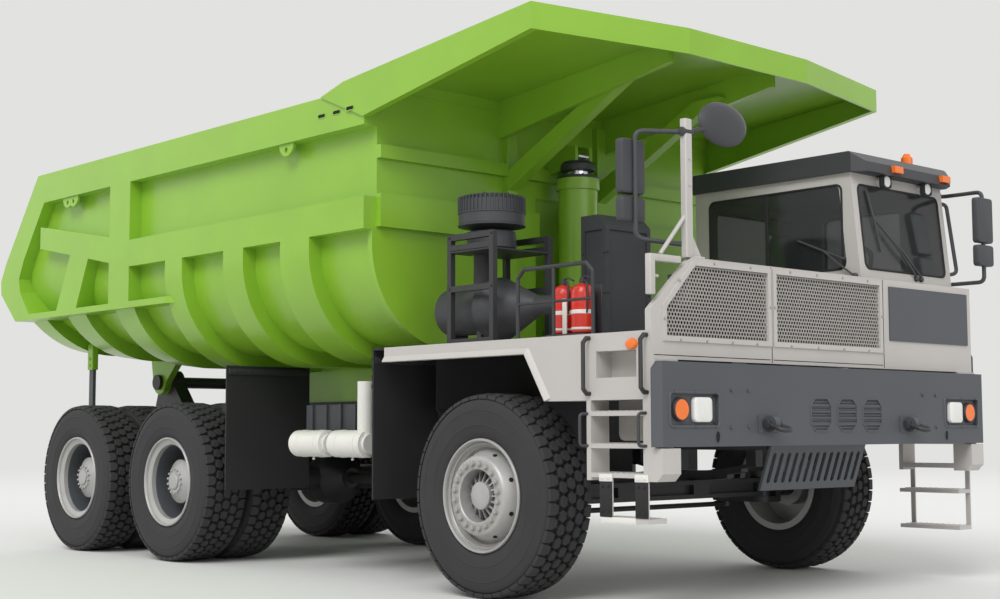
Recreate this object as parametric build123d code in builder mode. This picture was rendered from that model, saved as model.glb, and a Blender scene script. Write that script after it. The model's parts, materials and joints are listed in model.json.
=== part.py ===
"""Wide-body mining dump truck: six-wheel chassis, offset cab, tipping rock body and front telescopic hoist.

Millimetres. +X points forward, +Y to the truck's left, +Z up. The origin is on the ground, at the middle of
the truck's length and width. Places along the truck are measured from the front axle.
"""
import os
from math import atan2, cos, hypot, pi, radians, sin, sqrt, tan

from build123d import *

os.makedirs("parts", exist_ok=True)

# Clearances
seat_gap = 0.3
run_gap = 0.05
move_gap = 8.0
door_gap = 6.0
swing_gap = 60.0

# Sides of a thin bent tube, drawn as a prism
tube_sides = 12

# Wheels and axles
tyre_d = 1670.0
tyre_w = 500.0
tread_w = 450.0
lug_h = 42.0
lug_count = 18
rim_flange_r = 452.0
rim_inner_r = 392.0
rim_w = 430.0
truck_half_w = 2200.0
dual_gap = 60.0
wheelbase = 4980.0
bogie_spread = 2040.0
kingpin_in = 470.0
kingpin_r = 45.0
spindle_r = 75.0
rear_spindle_r = 110.0
axle_tube_r = 140.0
steer_arm_l = 380.0

# Truck length, from the front axle
bumper_ahead = 2000.0
tow_eye_reach = 100.0
rear_reach = 8760.0

# Main frame
rail_outer_y = 600.0
rail_w = 180.0
rail_bottom_z = 1200.0
rail_h = 480.0
frame_rear_back = 7990.0

# Bumper, guard and nose
bumper_depth = 300.0
bumper_over = 53.0
bumper_end_t = 65.0
bumper_bottom_z = 1241.0
bumper_h = 625.0
guard_half_w = 650.0
guard_h = 365.0
guard_lean = 125.0
nose_setback = 100.0
nose_t = 60.0
nose_gap_z = 19.0
nose_h = 775.0

# Deck and cab
deck_top_z = 2095.0
deck_t = 20.0
deck_back = 1250.0
skirt_h = 128.0
fender_h = 505.0
cab_back = 110.0
cab_front_low = 1800.0
cab_front_lean = 150.0
cab_inset = 40.0
cab_w = 1460.0
cab_wall = 60.0
cab_h = 1525.0
roof_t = 180.0
roof_over = 40.0
glass_t = 12.0
sill_h = 665.0
window_h = 770.0
window_corner_r = 70.0
door_back = 250.0
door_l = 1080.0
door_sill_h = 105.0

# Tipping body
bed_half_w = 2215.0
bed_rib_t = 145.0
bed_wall = 30.0
bed_front_back = 1350.0
bed_floor_z = 2160.0
bed_corner_r = 870.0
bed_rise_back = 5000.0
bed_tail_rise = 380.0
bed_h = 2270.0
rim_beam_h = 340.0
mid_rail_drop = 983.0
mid_rail_h = 292.0
pivot_back = 7750.0
pivot_z = 1980.0
pivot_r = 70.0
pivot_lug_t = 90.0
runner_w = 160.0

# Canopy over the cab
canopy_plate_t = 20.0
canopy_corner_ahead = 830.0
canopy_centre_reach = 300.0
canopy_centre_half_w = 820.0
canopy_rise = 310.0
canopy_fascia_h = 220.0
canopy_root_rise = 116.0
canopy_root_h = 386.0
canopy_sheet_t = 25.0

# Hoist
hoist_back = 1010.0
hoist_base_z = 1600.0
hoist_eye_drop = 400.0
hoist_r = 190.0
hoist_step = 40.0
hoist_eye_r = 85.0
hoist_eye_w = 140.0

# Derived places
front_axle_x = (rear_reach - bumper_ahead - tow_eye_reach) / 2
mid_axle_x = front_axle_x - wheelbase
rear_axle_x = mid_axle_x - bogie_spread
bogie_x = (mid_axle_x + rear_axle_x) / 2
axle_z = tyre_d / 2
wheel_y = truck_half_w - tyre_w / 2
inner_wheel_y = wheel_y - tyre_w - dual_gap
kingpin_y = wheel_y - kingpin_in
rail_top_z = rail_bottom_z + rail_h
rail_inner_y = rail_outer_y - rail_w
rail_y = rail_outer_y - rail_w / 2
bumper_x = front_axle_x + bumper_ahead
bumper_back_x = bumper_x - bumper_depth
bumper_half_w = truck_half_w + bumper_over
bumper_top_z = bumper_bottom_z + bumper_h
nose_x = bumper_x - nose_setback
nose_back_x = nose_x - nose_t
nose_bottom_z = bumper_top_z + nose_gap_z
nose_top_z = nose_bottom_z + nose_h
deck_back_x = front_axle_x - deck_back
deck_low_z = deck_top_z - deck_t
skirt_low_z = deck_top_z - skirt_h
fender_low_z = deck_top_z - fender_h
cab_left_y = truck_half_w - cab_inset
cab_right_y = cab_left_y - cab_w
cab_back_x = front_axle_x - cab_back
cab_top_z = deck_top_z + cab_h
window_low_z = deck_top_z + sill_h
window_top_z = window_low_z + window_h
bed_frame_half_w = bed_half_w + bed_rib_t
bed_front_x = front_axle_x - bed_front_back
bed_top_z = bed_floor_z + bed_h
mid_rail_top_z = bed_top_z - mid_rail_drop
mid_rail_low_z = mid_rail_top_z - mid_rail_h
canopy_half_w = bed_frame_half_w + canopy_plate_t
canopy_top_z = bed_top_z + canopy_rise
pivot_x = front_axle_x - pivot_back
hoist_x = front_axle_x - hoist_back
hoist_eye_z = bed_top_z - hoist_eye_drop


def ahead(distance):
    """The x of a place that is a distance ahead of the front axle."""
    return front_axle_x + distance


def span(low, high):
    """The pair of x values of two places ahead of the front axle."""
    return ahead(low), ahead(high)


def about(middle, width):
    """The pair of values a width apart around a middle."""
    return middle - width / 2, middle + width / 2


def mirrored(side, near, far):
    """The pair of y values of a stretch on one side of the truck."""
    return side * near, side * far


def side_plane(y):
    """The vertical plane at y, drawn as x and z, whose extrusions go towards the right (-Y)."""
    return Plane.XZ.offset(-y)


def cross_plane(x):
    """The vertical plane at x, drawn as y and z, whose extrusions go forward (+X)."""
    return Plane.YZ.offset(x)


def prism(plane, points, depth, mode=Mode.ADD):
    """Extrude a closed outline drawn on a plane."""
    with BuildSketch(plane) as outline:
        with BuildLine():
            Polyline(*points, close=True)
        make_face()
    extrude(outline.sketch, amount=depth, mode=mode)


def side_prism(points, y, mode=Mode.ADD):
    """Extrude an outline of x and z points between two y values."""
    prism(side_plane(max(y)), points, abs(y[1] - y[0]), mode)


def rounded(plane, centre, width, height, corner, depth, mode=Mode.ADD):
    """Extrude a rectangle with rounded corners, drawn on a plane."""
    with BuildSketch(plane) as outline:
        with Locations(centre):
            RectangleRounded(width, height, corner)
    extrude(outline.sketch, amount=depth, mode=mode)


def block(x, y, z, mode=Mode.ADD):
    """Add a plate or bar that spans the given pairs of x, y and z values."""
    with Locations((sum(x) / 2, sum(y) / 2, sum(z) / 2)):
        Box(abs(x[1] - x[0]), abs(y[1] - y[0]), abs(z[1] - z[0]), mode=mode)


def rod(start, end, radius, mode=Mode.ADD):
    """Add a round bar from one point to another."""
    along = Vector(*end) - Vector(*start)
    with BuildSketch(Plane(origin=start, z_dir=along)) as section:
        Circle(radius)
    extrude(section.sketch, amount=along.length, mode=mode)


def cross_rod(x, y, z, radius, mode=Mode.ADD):
    """Add a round bar across the truck, between two y values."""
    rod((x, y[0], z), (x, y[1], z), radius, mode)


def bent_tube(points, radius, corner):
    """Add a round tube along straight runs, with each corner cut off by a short mitred run."""
    path = [Vector(*points[0])]
    for before, at, after in zip(points, points[1:], points[2:]):
        path.append(Vector(*at) + (Vector(*before) - Vector(*at)).normalized() * corner)
        path.append(Vector(*at) + (Vector(*after) - Vector(*at)).normalized() * corner)
    path.append(Vector(*points[-1]))
    with BuildLine() as route:
        Polyline(*path)
    with BuildSketch(Plane(origin=path[0], z_dir=path[1] - path[0])) as section:
        RegularPolygon(radius, tube_sides)
    sweep(section.sketch, path=route.line, transition=Transition.RIGHT)


def turned(x, z, points):
    """Turn a profile of (radius, y) points about the line along Y through x and z."""
    with BuildSketch(Plane(origin=(x, 0, z), x_dir=(1, 0, 0), z_dir=(0, 0, 1))) as profile:
        with BuildLine():
            Polyline(*points, close=True)
        make_face()
    revolve(profile.sketch, axis=Axis((x, 0, z), (0, 1, 0)))


def spun(x, y, points):
    """Turn a profile of (radius, z) points about the vertical line through x and y."""
    with BuildSketch(Plane(origin=(x, y, 0), x_dir=(1, 0, 0), z_dir=(0, -1, 0))) as profile:
        with BuildLine():
            Polyline(*points, close=True)
        make_face()
    revolve(profile.sketch, axis=Axis((x, y, 0), (0, 0, 1)))


def laid(y, z, points):
    """Turn a profile of (x, radius) points about the line along X through y and z."""
    with BuildSketch(Plane(origin=(0, y, z), x_dir=(1, 0, 0), z_dir=(0, -1, 0))) as profile:
        with BuildLine():
            Polyline(*points, close=True)
        make_face()
    revolve(profile.sketch, axis=Axis((0, y, z), (1, 0, 0)))


def keep(builder, name):
    """Label a finished piece and write its file."""
    builder.part.label = name
    export_step(builder.part, f"parts/{name}.step")


# Main frame: two box rails, cross members, tipping pivot and bogie brackets
bogie_beam_half = 80.0
bogie_beam_rise = 160.0
bogie_bracket_l = 520.0
spring_y = 780.0
spring_w = 140.0
pivot_boss_r = 150.0
pivot_collar_r = 95.0
pivot_collar_t = 40.0
pivot_foot = (-260.0, 420.0)
hoist_pin_r = 60.0
cross_h = 110.0
cross_members = ((1500.0, 160.0), (800.0, 120.0), (-400.0, 120.0), (-2400.0, 200.0), (-4100.0, 200.0))
rear_member_in = 150.0
rear_member_l = 240.0
bogie_beam_z = axle_z + bogie_beam_rise
pivot_lug_y = rail_outer_y + move_gap
pivot_lug_end_y = pivot_lug_y + pivot_lug_t
pivot_half_l = pivot_lug_end_y + move_gap + pivot_collar_t
frame_rear_x = ahead(-frame_rear_back)
member_places = [(ahead(place), length) for place, length in cross_members]
member_places.append((frame_rear_x + rear_member_in, rear_member_l))

with BuildPart() as frame:
    for side in (-1, 1):
        rail_faces = mirrored(side, rail_inner_y, rail_outer_y)
        block((frame_rear_x, bumper_back_x), rail_faces, (rail_bottom_z, rail_top_z))
        side_prism(
            [
                (bogie_x - bogie_bracket_l / 2, rail_bottom_z),
                (bogie_x + bogie_bracket_l / 2, rail_bottom_z),
                (bogie_x + bogie_beam_half, bogie_beam_z - bogie_beam_half),
                (bogie_x - bogie_beam_half, bogie_beam_z - bogie_beam_half),
            ],
            rail_faces,
        )
        side_prism(
            [
                (pivot_x + pivot_foot[0], rail_top_z),
                (pivot_x + pivot_foot[1], rail_top_z),
                (pivot_x + pivot_boss_r, pivot_z),
                (pivot_x - pivot_boss_r, pivot_z),
            ],
            rail_faces,
        )
        cross_rod(pivot_x, rail_faces, pivot_z, pivot_boss_r)
        cross_rod(pivot_x, mirrored(side, pivot_lug_end_y + move_gap, pivot_half_l), pivot_z, pivot_collar_r)
    for member_x, member_l in member_places:
        member_z = (rail_bottom_z, rail_bottom_z + cross_h)
        block(about(member_x, member_l), (-rail_inner_y, rail_inner_y), member_z)
    block(
        about(bogie_x, 2 * bogie_beam_half),
        about(0, 2 * spring_y + spring_w),
        about(bogie_beam_z, 2 * bogie_beam_half),
    )
    cross_rod(pivot_x, (-pivot_half_l, pivot_half_l), pivot_z, pivot_r)
    cross_rod(hoist_x, (-rail_inner_y, rail_inner_y), hoist_base_z, hoist_pin_r)
keep(frame, "frame")

# Front bumper with cut corners, lamp recesses, octagonal vents and tow eyes
lamp_in = (143.0, 683.0)
lamp_low_z = 1400.0
lamp_h = 230.0
lamp_recess = 30.0
tow_eye_y = 970.0
tow_eye_z = 1410.0
tow_eye_t = 60.0
tow_hole_r = 22.0
tow_pad_t = 12.0
tow_pad_w = 260.0
tow_pad_h = 130.0
vent_w = 260.0
vent_h = 250.0
vent_pitch = 360.0
vent_shift = 80.0
vent_z = 1485.0
vent_cut = 55.0
vent_depth = 40.0
vent_bar_h = 14.0
vent_bars = 4
bumper_cut = 55.0
fender_w = 260.0
bumper_end_y = truck_half_w - fender_w - move_gap
tow_eye_x = bumper_x + tow_pad_t + tow_hole_r + move_gap / 2
tow_eye_r = bumper_x + tow_eye_reach - tow_eye_x
lamp_y = (bumper_half_w - lamp_in[1], bumper_half_w - lamp_in[0])
lamp_z = (lamp_low_z, lamp_low_z + lamp_h)


def octagon(middle_y, middle_z, width, height, cut):
    """Outline of a rectangle with cut corners, as y and z."""
    half_w, half_h = width / 2, height / 2
    return [
        (middle_y - half_w + cut, middle_z - half_h),
        (middle_y + half_w - cut, middle_z - half_h),
        (middle_y + half_w, middle_z - half_h + cut),
        (middle_y + half_w, middle_z + half_h - cut),
        (middle_y + half_w - cut, middle_z + half_h),
        (middle_y - half_w + cut, middle_z + half_h),
        (middle_y - half_w, middle_z + half_h - cut),
        (middle_y - half_w, middle_z - half_h + cut),
    ]


with BuildPart() as bumper:
    prism(
        Plane.XY.offset(bumper_bottom_z),
        [
            (bumper_back_x, -bumper_half_w),
            (bumper_x - bumper_cut, -bumper_half_w),
            (bumper_x, -bumper_half_w + bumper_cut),
            (bumper_x, bumper_half_w - bumper_cut),
            (bumper_x - bumper_cut, bumper_half_w),
            (bumper_back_x, bumper_half_w),
        ],
        bumper_h,
    )
    for side in (-1, 1):
        prism(
            cross_plane(bumper_back_x),
            [
                (side * bumper_half_w, bumper_top_z - bumper_cut),
                (side * bumper_half_w, bumper_top_z),
                (side * (bumper_half_w - bumper_cut), bumper_top_z),
            ],
            bumper_depth,
            mode=Mode.SUBTRACT,
        )
        block(
            (bumper_back_x, bumper_x - bumper_end_t),
            mirrored(side, bumper_end_y, bumper_half_w),
            (bumper_bottom_z, bumper_top_z),
            mode=Mode.SUBTRACT,
        )
        block((bumper_x - lamp_recess, bumper_x), mirrored(side, *lamp_y), lamp_z, mode=Mode.SUBTRACT)
        pad_x = (bumper_x, bumper_x + tow_pad_t)
        block(pad_x, about(side * tow_eye_y, tow_pad_w), about(tow_eye_z, tow_pad_h))
        with BuildSketch(side_plane(side * tow_eye_y + tow_eye_t / 2)) as eye:
            with Locations(((bumper_x + tow_eye_x) / 2, tow_eye_z)):
                Rectangle(tow_eye_x - bumper_x, 2 * tow_eye_r)
            with Locations((tow_eye_x, tow_eye_z)):
                Circle(tow_eye_r)
                Circle(tow_hole_r, mode=Mode.SUBTRACT)
        extrude(eye.sketch, amount=tow_eye_t)
    for place in (-1, 0, 1):
        vent_y = vent_shift + place * vent_pitch
        vent = octagon(vent_y, vent_z, vent_w, vent_h, vent_cut)
        prism(cross_plane(bumper_x - vent_depth), vent, vent_depth, mode=Mode.SUBTRACT)
        for bar in range(vent_bars):
            bar_z = vent_z - vent_h / 2 + (bar + 1) * vent_h / (vent_bars + 1)
            bar_x = (bumper_x - vent_depth, bumper_x)
            block(bar_x, about(vent_y, vent_w), about(bar_z, vent_bar_h))
keep(bumper, "bumper")

# Slotted guard below the bumper
guard_t = 25.0
guard_setback = 60.0
slot_count = 13
slot_w = 45.0
slot_cut = 14.0
slot_margin_z = 60.0
guard_top_x = bumper_back_x + guard_t + guard_setback
guard_low_z = bumper_bottom_z - guard_h
slot_pitch = 2 * guard_half_w / (slot_count + 0.5)

with BuildPart() as guard:
    side_prism(
        [
            (guard_top_x, bumper_bottom_z),
            (guard_top_x - guard_t, bumper_bottom_z),
            (guard_top_x - guard_t - guard_lean, guard_low_z),
            (guard_top_x - guard_lean, guard_low_z),
        ],
        (-guard_half_w, guard_half_w),
    )
    for index in range(slot_count):
        prism(
            cross_plane(guard_top_x - guard_t - guard_lean),
            octagon(
                (index - (slot_count - 1) / 2) * slot_pitch,
                bumper_bottom_z - guard_h / 2,
                slot_w,
                guard_h - 2 * slot_margin_z,
                slot_cut,
            ),
            guard_lean + guard_t,
            mode=Mode.SUBTRACT,
        )
keep(guard, "skid_guard")

# Nose: sheet-metal front with raised frames round two grille openings and a dark plate on the left
grille_low_in = 175.0
grille_h = 540.0
grille_right_in = (160.0, 1370.0)
grille_mid_half_w = 720.0
nose_cut_y = 460.0
nose_cut_z = 410.0
grille_cut = 330.0
grille_t = 20.0
grille_frame_w = 40.0
grille_frame_t = 14.0
grille_hole = (148.0, 62.0)
grille_rows = 6
grille_web = 26.0
plate_in = (70.0, 1330.0)
plate_low_in = 245.0
plate_h = 470.0
plate_t = 12.0
grille_low_z = nose_bottom_z + grille_low_in
grille_top_z = grille_low_z + grille_h
grille_right_y = (-truck_half_w + grille_right_in[0], -truck_half_w + grille_right_in[1])


def right_grille(grow):
    """Outline of the right grille, whose outer top corner follows the nose's cut corner, moved outwards."""
    cut = grille_cut + grow * (2 - sqrt(2))
    low, high = grille_low_z - grow, grille_top_z + grow
    outer, inner = grille_right_y[0] - grow, grille_right_y[1] + grow
    return [(outer, low), (inner, low), (inner, high), (outer + cut, high), (outer, high - cut)]


def mid_grille(grow):
    """Outline of the middle grille, moved outwards."""
    half = grille_mid_half_w + grow
    low, high = grille_low_z - grow, grille_top_z + grow
    return [(-half, low), (half, low), (half, high), (-half, high)]


with BuildPart() as nose:
    prism(
        cross_plane(nose_back_x),
        [
            (-truck_half_w, nose_bottom_z),
            (truck_half_w, nose_bottom_z),
            (truck_half_w, nose_top_z),
            (-truck_half_w + nose_cut_y, nose_top_z),
            (-truck_half_w, nose_top_z - nose_cut_z),
        ],
        nose_t,
    )
    for grille in (right_grille, mid_grille):
        prism(cross_plane(nose_x), grille(grille_frame_w), grille_frame_t)
        prism(cross_plane(nose_back_x), grille(0), nose_t + grille_frame_t, mode=Mode.SUBTRACT)
keep(nose, "nose_panel")

def perforated(grille, middle_y, columns):
    """Add a grille panel with rows of rectangular holes, clipped to its outline."""
    with BuildSketch(cross_plane(nose_x - grille_t)) as holes:
        with Locations((middle_y, grille_low_z + grille_h / 2)):
            pitch_y, pitch_z = grille_hole[0] + grille_web, grille_hole[1] + grille_web
            with GridLocations(pitch_y, pitch_z, columns, grille_rows):
                Rectangle(*grille_hole)
        with BuildLine():
            Polyline(*grille(-grille_web), close=True)
        make_face(mode=Mode.INTERSECT)
    with BuildSketch(cross_plane(nose_x - grille_t)) as panel:
        with BuildLine():
            Polyline(*grille(-seat_gap), close=True)
        make_face()
        add(holes.sketch_local, mode=Mode.SUBTRACT)
    extrude(panel.sketch, amount=grille_t)


with BuildPart() as grilles:
    perforated(right_grille, sum(grille_right_y) / 2, 7)
    perforated(mid_grille, 0.0, 8)
keep(grilles, "grilles")

with BuildPart() as dark_plate:
    plate_y = (truck_half_w - plate_in[1], truck_half_w - plate_in[0])
    plate_z = nose_bottom_z + plate_low_in
    block((nose_x, nose_x + plate_t), plate_y, (plate_z, plate_z + plate_h))
keep(dark_plate, "cowl_plate")

# Deck over the front wheels, with flanged skirts, fender boxes with a step recess, and legs on the rails
hoist_notch_y = 420.0
hoist_notch_ahead = 620.0
skirt_t = 30.0
skirt_lip = 70.0
skirt_lip_t = 14.0
arch_x = (570.0, 800.0)
recess_x = (1340.0, 1750.0)
recess_z = (1757.0, 1957.0)
recess_depth = 170.0
leg_l = 160.0
deck_legs = (1350.0, 100.0, -850.0)
fender_front_x = bumper_x - bumper_end_t - move_gap

with BuildPart() as deck:
    block((deck_back_x, nose_back_x), (-truck_half_w, truck_half_w), (deck_low_z, deck_top_z))
    block(
        (deck_back_x, deck_back_x + hoist_notch_ahead),
        (-hoist_notch_y, hoist_notch_y),
        (deck_low_z, deck_top_z),
        mode=Mode.SUBTRACT,
    )
    for side in (-1, 1):
        side_prism(
            [
                (deck_back_x, deck_low_z),
                (deck_back_x, skirt_low_z),
                (ahead(arch_x[0]), skirt_low_z),
                (ahead(arch_x[1]), fender_low_z),
                (fender_front_x, fender_low_z),
                (fender_front_x, nose_bottom_z),
                (nose_back_x, nose_bottom_z),
                (nose_back_x, deck_low_z),
            ],
            mirrored(side, truck_half_w - skirt_t, truck_half_w),
        )
        block(
            (deck_back_x, ahead(arch_x[0])),
            mirrored(side, truck_half_w - skirt_lip, truck_half_w),
            (skirt_low_z, skirt_low_z + skirt_lip_t),
        )
        side_prism(
            [
                (ahead(arch_x[1]), fender_low_z),
                (fender_front_x, fender_low_z),
                (fender_front_x, nose_bottom_z),
                (nose_back_x, nose_bottom_z),
                (nose_back_x, deck_low_z),
                (ahead(arch_x[1]), deck_low_z),
            ],
            mirrored(side, truck_half_w - fender_w, truck_half_w),
        )
        recess_y = mirrored(side, truck_half_w - recess_depth, truck_half_w)
        block(span(*recess_x), recess_y, recess_z, mode=Mode.SUBTRACT)
        for leg_ahead in deck_legs:
            block(
                (ahead(leg_ahead), ahead(leg_ahead) + leg_l),
                mirrored(side, rail_inner_y, rail_outer_y),
                (rail_top_z, deck_low_z),
            )
keep(deck, "deck")

# Ladders below the fender boxes, with a closing plate by the bumper and hanging lower steps
ladder_x = (1235.0, 1855.0)
ladder_h = 600.0
ladder_depth = 200.0
ladder_rail_w = 45.0
rung_drops = (101.0, 342.0, 560.0)
rung_h = 35.0
strap_t = 14.0
right_strap_w = 120.0
right_step_in = 140.0
closing_plate_l = 142.0
closing_plate_cut = 56.0
closing_plate_gap = 10.0
right_step_drops = (290.0,)
left_step_drops = (190.0, 520.0)
ladder_low_z = fender_low_z - ladder_h

with BuildPart() as ladders:
    for side, drops, strap_w, step_in in (
        (-1, right_step_drops, right_strap_w, right_step_in),
        (1, left_step_drops, ladder_rail_w, 0.0),
    ):
        outer_face = mirrored(side, truck_half_w - ladder_depth, truck_half_w)
        strap_face = mirrored(side, truck_half_w - strap_t, truck_half_w)
        step_span = (ahead(ladder_x[0]) + step_in, ahead(ladder_x[1]))
        lowest_z = ladder_low_z - drops[-1]
        for edge_x in (ahead(ladder_x[0]), ahead(ladder_x[1]) - ladder_rail_w):
            block((edge_x, edge_x + ladder_rail_w), outer_face, (ladder_low_z, fender_low_z))
        for edge_x in (step_span[0], step_span[1] - strap_w):
            block((edge_x, edge_x + strap_w), strap_face, (lowest_z, ladder_low_z + rung_h))
        for drop in rung_drops:
            block(span(*ladder_x), outer_face, about(fender_low_z - drop, rung_h))
        for drop in drops:
            block(step_span, outer_face, about(ladder_low_z - drop, rung_h))
        plate_back_x = ahead(ladder_x[1]) - ladder_rail_w
        plate_front_x = ahead(ladder_x[1]) + closing_plate_l
        plate_top_z = bumper_bottom_z - closing_plate_gap
        side_prism(
            [
                (plate_back_x, ladder_low_z),
                (plate_front_x - closing_plate_cut, ladder_low_z),
                (plate_front_x, ladder_low_z + closing_plate_cut),
                (plate_front_x, plate_top_z),
                (fender_front_x, plate_top_z),
                (fender_front_x, fender_low_z),
                (plate_back_x, fender_low_z),
            ],
            outer_face,
        )
keep(ladders, "ladders")

# Handrail on the right deck and grab handles beside both ladders
hand_tube_r = 17.0
hand_post_r = 14.5
hand_bar_r = 12.0
hand_in = 45.0
hand_h = 555.0
hand_posts = (430.0, 840.0, 1270.0)
hand_corner = 70.0
grab_xs = (1270.0, 1855.0)
grab_out = 70.0
grab_low_z = 1640.0
grab_top_z = 2060.0

with BuildPart() as handrail:
    hand_y = -truck_half_w + hand_in
    hand_top_z = deck_top_z + hand_h
    bent_tube(
        [
            (ahead(hand_posts[0]), hand_y, deck_top_z),
            (ahead(hand_posts[0]), hand_y, hand_top_z),
            (ahead(hand_posts[-1]), hand_y, hand_top_z),
            (ahead(hand_posts[-1]), hand_y, deck_top_z),
        ],
        hand_tube_r,
        hand_corner,
    )
    rod((ahead(hand_posts[1]), hand_y, deck_top_z), (ahead(hand_posts[1]), hand_y, hand_top_z), hand_post_r)
    middle_z = deck_top_z + hand_h / 2
    rod((ahead(hand_posts[0]), hand_y, middle_z), (ahead(hand_posts[-1]), hand_y, middle_z), hand_bar_r)
    for side in (-1, 1):
        for grab_x in grab_xs:
            bent_tube(
                [
                    (ahead(grab_x), side * truck_half_w, grab_low_z),
                    (ahead(grab_x), side * (truck_half_w + grab_out), grab_low_z),
                    (ahead(grab_x), side * (truck_half_w + grab_out), grab_top_z),
                    (ahead(grab_x), side * truck_half_w, grab_top_z),
                ],
                hand_tube_r,
                grab_out / 2,
            )
keep(handrail, "handrail")

# Fire extinguishers in a low tray
bottle_r = 85.0
bottle_in = 300.0
bottle_xs = (700.0, 910.0)
bottle_h = 450.0
bottle_shoulder_h = 60.0
bottle_neck_r = 28.0
bottle_neck_h = 60.0
tray_margin = 25.0
tray_h = 90.0

with BuildPart() as bottles:
    bottle_y = -truck_half_w + bottle_in
    block(
        (ahead(bottle_xs[0]) - bottle_r - tray_margin, ahead(bottle_xs[-1]) + bottle_r + tray_margin),
        about(bottle_y, 2 * (bottle_r + tray_margin)),
        (deck_top_z, deck_top_z + tray_h),
    )
    for bottle_x in bottle_xs:
        spun(
            ahead(bottle_x),
            bottle_y,
            [
                (0, deck_top_z),
                (bottle_r, deck_top_z),
                (bottle_r, deck_top_z + bottle_h - bottle_shoulder_h),
                (bottle_neck_r, deck_top_z + bottle_h),
                (bottle_neck_r, deck_top_z + bottle_h + bottle_neck_h),
                (0, deck_top_z + bottle_h + bottle_neck_h),
            ],
        )
keep(bottles, "extinguishers")

# Air cleaner: intake cap and bowl on a shelf in its cage, with a pipe down to a lying drum
cage_x = (-630.0, -40.0)
cage_in = (200.0, 900.0)
cage_h = 950.0
cage_bar = 50.0
cage_rail_drops = (0.0, 90.0, 445.0, 900.0)
shelf_drop = 145.0
shelf_t = 12.0
shelf_hole_r = 100.0
cleaner_ahead = -440.0
cleaner_bowl_r = 215.0
cleaner_bowl_low_r = 170.0
cleaner_neck_r = 150.0
cleaner_cap_r = 290.0
cleaner_cap_low = 1031.0
cleaner_cap_h = 274.0
cleaner_groove = 22.0
intake_back = 120.0
intake_r = 80.0
drum_z = 315.0
drum_r = 210.0
drum_dome = 50.0
drum_x = (-1015.0, -400.0)
bell_r = 270.0
bell_l = 100.0
bell_cone_l = 450.0
duct_r = 80.0
duct_front = 820.0
saddle_xs = (-900.0, -500.0)
saddle_l = 60.0
saddle_w = 200.0
cage_y = (-truck_half_w + cage_in[0], -truck_half_w + cage_in[1])
cleaner_y = sum(cage_y) / 2
cage_top_z = deck_top_z + cage_h
cap_low_z = deck_top_z + cleaner_cap_low
shelf_z = cage_top_z - shelf_drop
intake_x = ahead(cleaner_ahead - intake_back)

with BuildPart() as cage:
    bar_xs = (ahead(cage_x[0]), ahead(cage_x[1]) - cage_bar)
    bar_ys = (cage_y[0], cage_y[1] - cage_bar)
    for bar_y in bar_ys:
        for bar_x in bar_xs:
            block((bar_x, bar_x + cage_bar), (bar_y, bar_y + cage_bar), (deck_top_z, cage_top_z))
        for drop in cage_rail_drops:
            rail_top_at = cage_top_z - drop
            block(span(*cage_x), (bar_y, bar_y + cage_bar), (rail_top_at - cage_bar, rail_top_at))
    block(span(*cage_x), cage_y, (shelf_z - shelf_t, shelf_z))
    hole_low = (intake_x, cleaner_y, shelf_z - shelf_t)
    rod(hole_low, (intake_x, cleaner_y, shelf_z), shelf_hole_r, mode=Mode.SUBTRACT)
keep(cage, "cleaner_cage")

with BuildPart() as cleaner:
    spun(
        ahead(cleaner_ahead),
        cleaner_y,
        [
            (0, shelf_z),
            (cleaner_bowl_low_r, shelf_z),
            (cleaner_bowl_r, shelf_z + 2 * cleaner_groove),
            (cleaner_bowl_r, cap_low_z - 2 * cleaner_groove),
            (cleaner_neck_r, cap_low_z - cleaner_groove),
            (cleaner_cap_r - cleaner_groove, cap_low_z),
            (cleaner_cap_r, cap_low_z + cleaner_groove),
            (cleaner_cap_r, cap_low_z + cleaner_cap_h - 2 * cleaner_groove),
            (cleaner_cap_r - 2 * cleaner_groove, cap_low_z + cleaner_cap_h),
            (0, cap_low_z + cleaner_cap_h),
        ],
    )
    drum_axis_z = deck_top_z + drum_z
    bell_x = ahead(drum_x[1])
    cone_x = bell_x + bell_l + bell_cone_l
    laid(
        cleaner_y,
        drum_axis_z,
        [
            (ahead(drum_x[0]), 0),
            (ahead(drum_x[0]), drum_r - drum_dome),
            (ahead(drum_x[0]) + drum_dome, drum_r),
            (bell_x, drum_r),
            (bell_x, bell_r),
            (bell_x + bell_l, bell_r),
            (cone_x, duct_r),
            (ahead(duct_front), duct_r),
            (ahead(duct_front), 0),
        ],
    )
    rod((intake_x, cleaner_y, drum_axis_z), (intake_x, cleaner_y, shelf_z + cleaner_groove), intake_r)
    duct_end_x = ahead(duct_front) - duct_r
    rod((duct_end_x, cleaner_y, deck_top_z), (duct_end_x, cleaner_y, drum_axis_z), duct_r - cleaner_groove)
    for saddle_x in saddle_xs:
        block(about(ahead(saddle_x), saddle_l), about(cleaner_y, saddle_w), (deck_top_z, drum_axis_z))
keep(cleaner, "air_cleaner")

# Exhaust box on the deck, with sunk panels and a sloped top
exhaust_x = (50.0, 350.0)
exhaust_y = (-1040.0, -470.0)
exhaust_h = 1135.0
exhaust_slope = 90.0
exhaust_rim = 45.0
exhaust_sink = 15.0

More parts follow.
